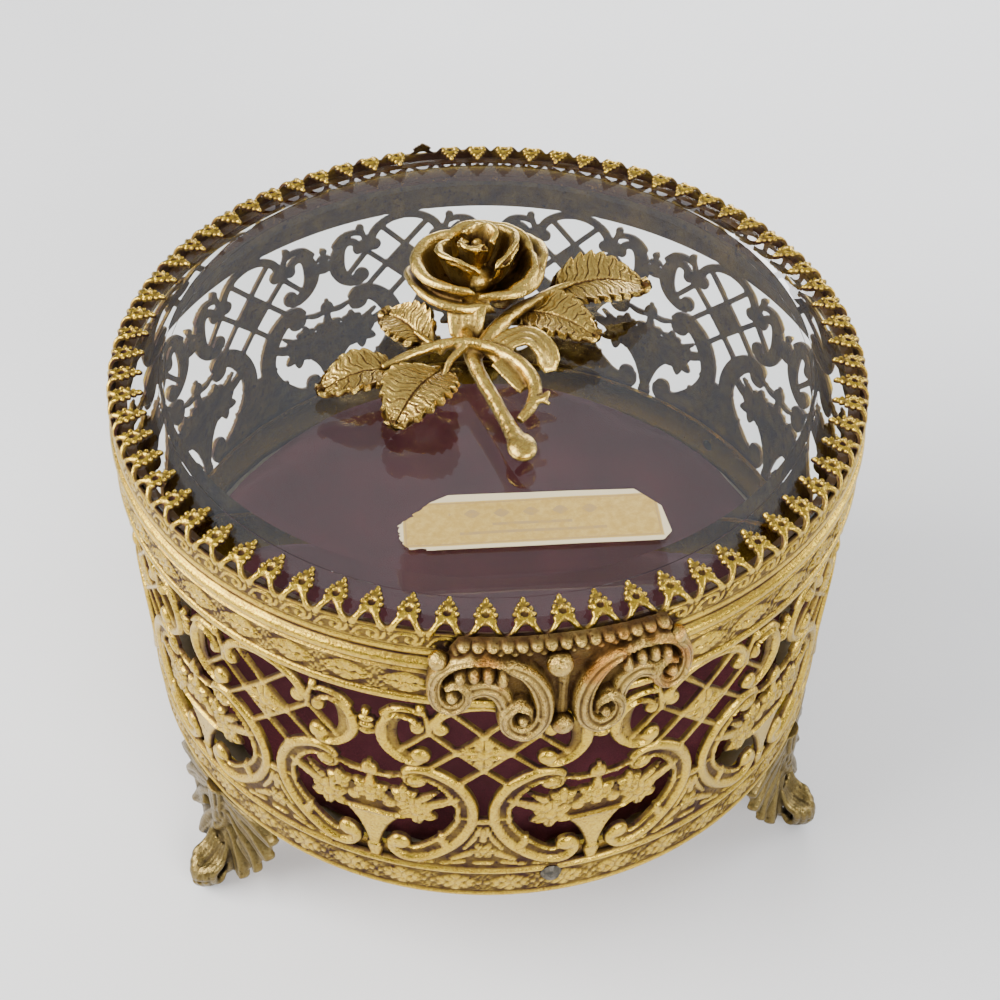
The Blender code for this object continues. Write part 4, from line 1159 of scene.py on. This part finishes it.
def build_bloom():
    """Eleven petals in four rings, from the saucer to the bud; angles are degrees from the front."""
    saucer = [(2.4, 1.6), (6.0, 2.8), (8.8, 4.8), (10.4, 6.6), (11.6, 7.4), (12.5, 7.2), (12.9, 6.4)]
    cup = [(2.4, 2.0), (5.2, 3.8), (7.0, 6.4), (7.8, 8.8), (8.6, 10.0), (9.6, 10.2), (10.2, 9.5)]
    inner = [(1.8, 4.0), (3.6, 7.0), (4.5, 9.8), (5.0, 11.6), (5.7, 12.2), (6.4, 11.9)]
    bud = [(0.8, 6.0), (1.6, 9.0), (2.1, 11.8), (2.7, 13.0), (3.3, 12.8)]
    pieces = [
        petal(-48, 62, scaled(saucer, 0.95, 0.2), seed=0.4, offset=(-0.6, 0.6)),
        petal(42, 56, scaled(saucer, 0.90, 1.0), seed=2.1, offset=(0.6, 0.8), spiral=-0.06),
        petal(104, 44, scaled(saucer, 0.98, 1.4), seed=1.0, thickness=1.3),
        petal(178, 70, scaled(saucer, 0.94), seed=4.0),
        petal(-92, 86, cup, seed=1.0, dip=1.2, ruffle=0.5, spiral=-0.14, thickness=1.5, offset=(-0.5, 0.2)),
        petal(66, 54, scaled(cup, 1.0, -0.9), seed=3.2, dip=2.2, spiral=0.10, thickness=1.5,
              offset=(0.8, 0.3)),
        petal(150, 62, scaled(cup, 0.96, 0.6), seed=5.1, spiral=0.08),
        petal(-64, 70, inner, seed=2.6, dip=1.8, spiral=-0.2, thickness=1.2, offset=(-0.7, 0.5)),
        petal(92, 80, scaled(inner, 1.06, 0.3), seed=0.7, dip=1.4, spiral=0.16, thickness=1.5,
              offset=(0.5, 0.8)),
        petal(-30, 84, bud, tuck=0.3, seed=1.5, dip=1.8, spiral=-0.2, offset=(-0.3, 0.9)),
        petal(140, 95, scaled(bud, 1.1, 0.4), tuck=0.3, seed=3.9, dip=0.6, spiral=0.2, offset=(0.0, 1.0)),
        ball((BLOOM_CENTRE + (0, 0, 4.6)) * MM, 3.2, CAST_GOLD, (1, 1, 0.85)),
        ball((BLOOM_CENTRE + (0.4, 1.0, 10.0)) * MM, 1.2, CAST_GOLD, (1, 1, 1.7)),
    ]
    bloom = fused(joined("rose_bloom_cast", pieces), 0.26, 2)
    mark_relief(bloom, 1.0)
    use(bloom, "lid", "cast_gold", "rose_bloom")


def cast_leaf(base, tip, width, low, arch, cup=0.16, curl=0.0, teeth=8, lean=0.0):
    """Serrated leaf with a sunk midrib and engraved side veins, arched along its length."""
    start, end = np.array(base, float), np.array(tip, float)
    run = end - start
    length = np.linalg.norm(run)
    run /= length
    beside = np.array([-run[1], run[0]])
    rows, columns = 110, 57
    s = np.linspace(0, 1, rows)[:, None]
    t = np.linspace(-1, 1, columns)[None, :]
    saw = 1 + 0.11 * (np.mod(s * teeth, 1.0) - 0.5) * 2
    half = width / 2 * np.sin(math.pi * np.clip(s, 0, 1) ** 0.86) ** 0.62 * saw + 0.2
    across = half * t
    along = length * (s + 0.05 * (1 - np.abs(t)) * (s > 0.98))
    sweep_back = np.abs(t) * (1.6 - 0.6 * np.abs(t))
    vein_place = np.mod(s * teeth - sweep_back + 0.12 * np.sin(9 * t + 5 * s), 1.0) - 0.5
    groove = np.exp(-(vein_place / 0.10) ** 2) * (np.abs(t) > 0.08) * (np.abs(t) < 0.93)
    fine = np.exp(-((np.mod(vein_place * 3 + np.abs(t) * 2, 1.0) - 0.5) / 0.14) ** 2) * (np.abs(t) < 0.85)
    midrib = np.exp(-(t / 0.06) ** 2)
    rim = np.exp(-((1 - np.abs(t)) / 0.10) ** 2)
    pillow = 0.08 * np.cos(2 * math.pi * vein_place)
    relief = pillow - 0.15 * groove - 0.05 * fine - 0.28 * midrib + 0.22 * rim
    rise = arch * np.sin(math.pi * s) + cup * np.abs(across) + relief
    rise = rise - curl * s ** 3 * length * 0.25 + lean * across / width
    front = np.zeros((rows, columns, 3))
    front[..., 0] = start[0] + run[0] * along + beside[0] * across
    front[..., 1] = start[1] + run[1] * along + beside[1] * across
    front[..., 2] = ORNAMENT_LOW + low + rise
    leaf = thick_sheet(front, 0.95, CAST_GOLD, "leaf")
    # Vein grooves and the sunk midrib are marked low, for patina with painted shade; the raised rim is marked
    # high.
    leaf_wear_and_shade = np.clip(0.74 - 0.65 * groove - 0.30 * fine - 0.6 * midrib + 0.4 * rim, 0, 1).ravel()
    mark_relief(leaf, np.concatenate([leaf_wear_and_shade, np.full(len(leaf_wear_and_shade), 0.4)]))
    return leaf


def stem(points):
    """Bar over the glass, through (x, y, height over the glass, radius) rows."""
    return swept([(x, y, ORNAMENT_LOW + z, r) for x, y, z, r in points], CAST_GOLD, bark=0.06)


def curled_ribbon(points, width):
    """Ribbed strip bent along a line of (x, y, height over the glass) points, rounded at its end."""
    line = smooth_line(points, 6)
    ahead = np.gradient(line, axis=0)
    side = np.cross(ahead, (0, 0, 1.0))
    side /= np.maximum(np.linalg.norm(side, axis=1)[:, None], 1e-6)
    t = np.linspace(-1, 1, 25)
    part = np.linspace(0, 1, len(line))
    half = width / 2 * (0.75 + 0.25 * np.sin(math.pi * part)) * np.minimum(1, 0.4 + 5 * (1 - part))
    front = line[:, None] + side[:, None] * (half[:, None] * t[None, :])[..., None]
    front[..., 2] += ORNAMENT_LOW + 0.14 * np.cos(9 * t)[None, :]
    return thick_sheet(front, 0.8, CAST_GOLD, "ribbon")


def build_spray():
    """Stems and curled sepals fused into one casting, with five leaves joined on."""
    pieces = [
        stem([(-3.4, 4.0, 3.0, 1.1), (-4.2, -3.0, 3.4, 1.15), (-4.2, -8.0, 3.2, 1.3), (-3.6, -13.0, 2.9, 1.2),
              (-2.5, -18.0, 2.6, 1.2), (-1.6, -22.5, 2.4, 1.15), (-0.9, -26.0, 2.3, 1.35),
              (-0.4, -29.0, 2.2, 1.6)]),
        ball((-0.1 * MM, -29.6 * MM, (ORNAMENT_LOW + 2.4) * MM), 2.3, CAST_GOLD, (1, 1.25, 0.62)),
        stem([(-4.4, -9.6, 3.0, 1.1), (-1.6, -5.6, 3.6, 1.25), (1.4, -2.0, 3.8, 1.35), (5.0, 1.4, 3.9, 1.15),
              (9.0, 4.2, 3.7, 0.95), (12.5, 6.4, 3.7, 0.7), (16.0, 7.6, 3.9, 0.5)]),
        stem([(-18.6, -8.4, 2.8, 0.6), (-14.0, -7.2, 3.8, 0.85), (-9.0, -6.4, 4.6, 0.95),
              (-4.0, -7.4, 5.2, 1.0), (0.2, -10.2, 5.0, 1.05), (3.2, -13.6, 4.4, 1.15),
              (4.2, -17.6, 3.8, 1.15), (3.0, -21.2, 3.0, 1.0), (0.6, -23.8, 2.4, 0.7)]),
        stem([(-9.6, -13.0, 2.6, 0.4), (-8.0, -10.0, 4.0, 0.6), (-5.4, -7.8, 4.8, 0.7)]),
        stem([(-8.6, -7.4, 3.8, 0.7), (-10.6, -4.2, 3.8, 0.6), (-12.4, -1.0, 3.6, 0.4)]),
        stem([(2.8, -20.8, 3.4, 0.6), (4.8, -20.8, 3.8, 0.6), (6.0, -19.8, 4.2, 0.4)]),
        stem([(4.2, -20.6, 3.6, 0.5), (5.8, -21.6, 3.2, 0.3)]),
        curled_ribbon([(-2.4, 5.0, 4.8), (-3.0, 2.6, 5.8), (-3.6, 0.4, 5.6), (-4.0, -1.4, 3.8),
                       (-4.2, -3.0, 2.0)], 6.0),
        curled_ribbon([(-1.6, -9.8, 3.4), (1.6, -8.2, 5.2), (5.0, -8.0, 5.6), (7.2, -10.0, 4.2),
                       (7.6, -12.4, 1.8)], 4.2),
        curled_ribbon([(-1.0, -12.0, 4.4), (1.0, -14.4, 3.2), (2.6, -17.0, 2.4)], 2.0),
    ]
    bars = fused(joined("rose_spray_cast", pieces), 0.26, 2)
    mark_relief(bars, 1.0)
    leaves = [
        cast_leaf((12.6, 7.0), (28.2, 7.7), 10.4, 3.0, 1.5, lean=1.4, curl=0.35),
        cast_leaf((5.6, 3.0), (17.0, -4.4), 8.6, 2.6, 1.3, lean=1.0, curl=0.3, teeth=7),
        cast_leaf((-16.4, -8.2), (-28.4, -10.6), 7.4, 2.2, 1.3, lean=-0.8, curl=0.3, teeth=6),
        cast_leaf((-9.6, -10.4), (-18.2, -20.8), 10.4, 2.8, 1.5, lean=0.6, curl=0.35, teeth=8),
        cast_leaf((-10.8, -3.0), (-16.2, 5.4), 6.8, 2.8, 1.1, cup=0.3, lean=-1.6, teeth=6),
    ]
    spray = joined("rose_spray_cast", [bars] + leaves)
    keep_above(spray, ORNAMENT_LOW + 0.05)
    use(spray, "lid", "cast_gold", "rose_spray")


def build_cement():
    """Clear lumps of cement squeezed out under the casting."""
    for node in ("cement_under_rose", "cement_under_leaf"):
        low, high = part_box(node)
        middle = (low + high) / 2
        half = (high - low) / 2
        blob = ball((0, 0, 0), 1.0, CEMENT)
        for vert in blob.data.vertices:
            x, y, z = vert.co / MM
            turn = math.atan2(y, x)
            swell = 1 + 0.10 * math.sin(3 * turn + middle.y * 300) + 0.06 * math.sin(5 * turn)
            vert.co = middle + Vector((x * half.x * swell * 0.9, y * half.y * swell * 0.9, z * half.z))
        use(blob, "lid", "clear_cement", node)
        blob.name = node + "_lump"


def build_label():
    """Paper slip with clipped corners and a torn end."""
    outline = [(-20.4, -44.0), (-19.2, -45.9), (16.8, -49.4), (18.3, -48.0), (18.1, -42.8), (15.0, -38.7),
               (-12.2, -35.7), (-15.0, -36.8), (-16.8, -38.0), (-20.4, -40.6)]

    def design(u, v):
        sheet = Relief(u, v)
        sheet.plate(outline, 0.0)
        torn = 0.35 * (np.sin(5.1 * v) + 0.6 * np.sin(11.7 * v + 1.0)) * np.clip((-14 - u) / 4, 0, 1)
        return sheet.edge + np.abs(torn), sheet.height

    def place(u, v, height):
        lift = 0.05 * np.sin(0.35 * u) * np.sin(0.6 * v) + 0.05
        return np.stack([u, v, GLASS_TOP + 0.42 + lift + height], -1) * MM

    paper = label_paper("cream_label", (-1.0, -42.6, math.radians(-5.2)), (19.2, 5.0))
    slip = relief_sheet("paper_label_slip", even_steps(-21, 19, 0.3), even_steps(-50, -35, 0.3), design,
                        place, 0.12, paper)
    use(slip, "lid", "cream_label", "paper_label")


# ---------------------------------------------------------------- lining
def build_velvet_pad():
    """Stuffed velvet disc: remeshed, then blown up by the cloth solver and held to its space."""
    edge = 57.6
    profile = [(0.01, PAD_TOP - 1.8), (edge - 4, PAD_TOP - 1.8), (edge, PAD_TOP - 3.6), (edge, PAD_LOW + 1.2),
               (edge - 1.5, PAD_LOW + 0.2), (0.01, PAD_LOW + 0.2)]
    pad = turned("velvet_pad_crowned", profile, VELVET, 96)
    weld(pad, 0.02)
    remesh = pad.modifiers.new("Even", "REMESH")
    remesh.mode = "VOXEL"
    remesh.voxel_size = 2.4 * MM
    apply_modifiers(pad)
    inflate(pad)
    low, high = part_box("velvet_pad")
    reach = high.x - 0.2 * MM
    for vert in pad.data.vertices:
        squeeze = min(1.0, reach / max(math.hypot(vert.co.x, vert.co.y), MM))
        vert.co.x *= squeeze
        vert.co.y *= squeeze
        vert.co.z = min(max(vert.co.z, low.z), high.z)
    subdivide = pad.modifiers.new("Soft", "SUBSURF")
    subdivide.levels = subdivide.render_levels = 1
    apply_modifiers(pad)
    pad.data.materials.clear()
    pad.data.materials.append(VELVET)
    pad.data.shade_smooth()
    use(pad, "box_body", "burgundy_velvet", "velvet_pad")


def inflate(pad, frames=16, cap=1.6):
    """Blow the pad up with the cloth solver; no point moves further than cap."""
    rest = np.array([vert.co[:] for vert in pad.data.vertices])
    cloth = pad.modifiers.new("Cloth", "CLOTH")
    cloth.settings.use_pressure = True
    cloth.settings.uniform_pressure_force = 4.0
    cloth.settings.effector_weights.gravity = 0.0
    cloth.settings.mass = 0.15
    scene = bpy.context.scene
    for number in range(1, frames + 1):
        scene.frame_set(number)
    swollen = evaluated_mesh(pad)
    pad.modifiers.clear()
    moved = np.array([vert.co[:] for vert in swollen.vertices]) - rest
    size = np.linalg.norm(moved, axis=1)[:, None]
    moved *= np.minimum(1, cap * MM / np.maximum(size, 1e-9))
    for vert, place in zip(pad.data.vertices, rest + moved):
        vert.co = place
    bpy.data.meshes.remove(swollen)
    scene.frame_set(1)


add_camera()
add_light()
build_wall()
build_top_band()
build_gallery()
build_glass_and_seat()
build_clasp()
for foot_side, foot_angle in FOOT_ANGLES.items():
    build_foot(foot_side, foot_angle, FOOT_SWING[foot_side])
build_bloom()
build_spray()
build_cement()
build_label()
build_velvet_pad()

CAD_FINISHES = {
    "base_pan": SMOOTH_GOLD, "floor_board": CARD, "underside_felt": FELT,
    "hinge_leaf_body": SMOOTH_GOLD, "hinge_leaf_lid": SMOOTH_GOLD, "hinge_pin": PIN_METAL,
    "foot_rivet_left": SMOOTH_GOLD, "foot_rivet_right": SMOOTH_GOLD, "foot_rivet_back": SMOOTH_GOLD,
    "wall_rivet_front": RIVET_METAL, "wall_rivet_left": RIVET_METAL, "wall_rivet_right": RIVET_METAL,
}
for node, material in CAD_FINISHES.items():
    for material_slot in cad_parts[node].material_slots:
        material_slot.material = material

floor = bpy.data.objects.new("floor", bpy.data.meshes.new("floor"))
bpy.context.scene.collection.objects.link(floor)
floor.data.from_pydata([(-1.6, -1.6, 0), (1.6, -1.6, 0), (1.6, 2.4, 0), (-1.6, 2.4, 0)], [], [(0, 1, 2, 3)])
floor.data.materials.append(floor_paint("floor_paint"))
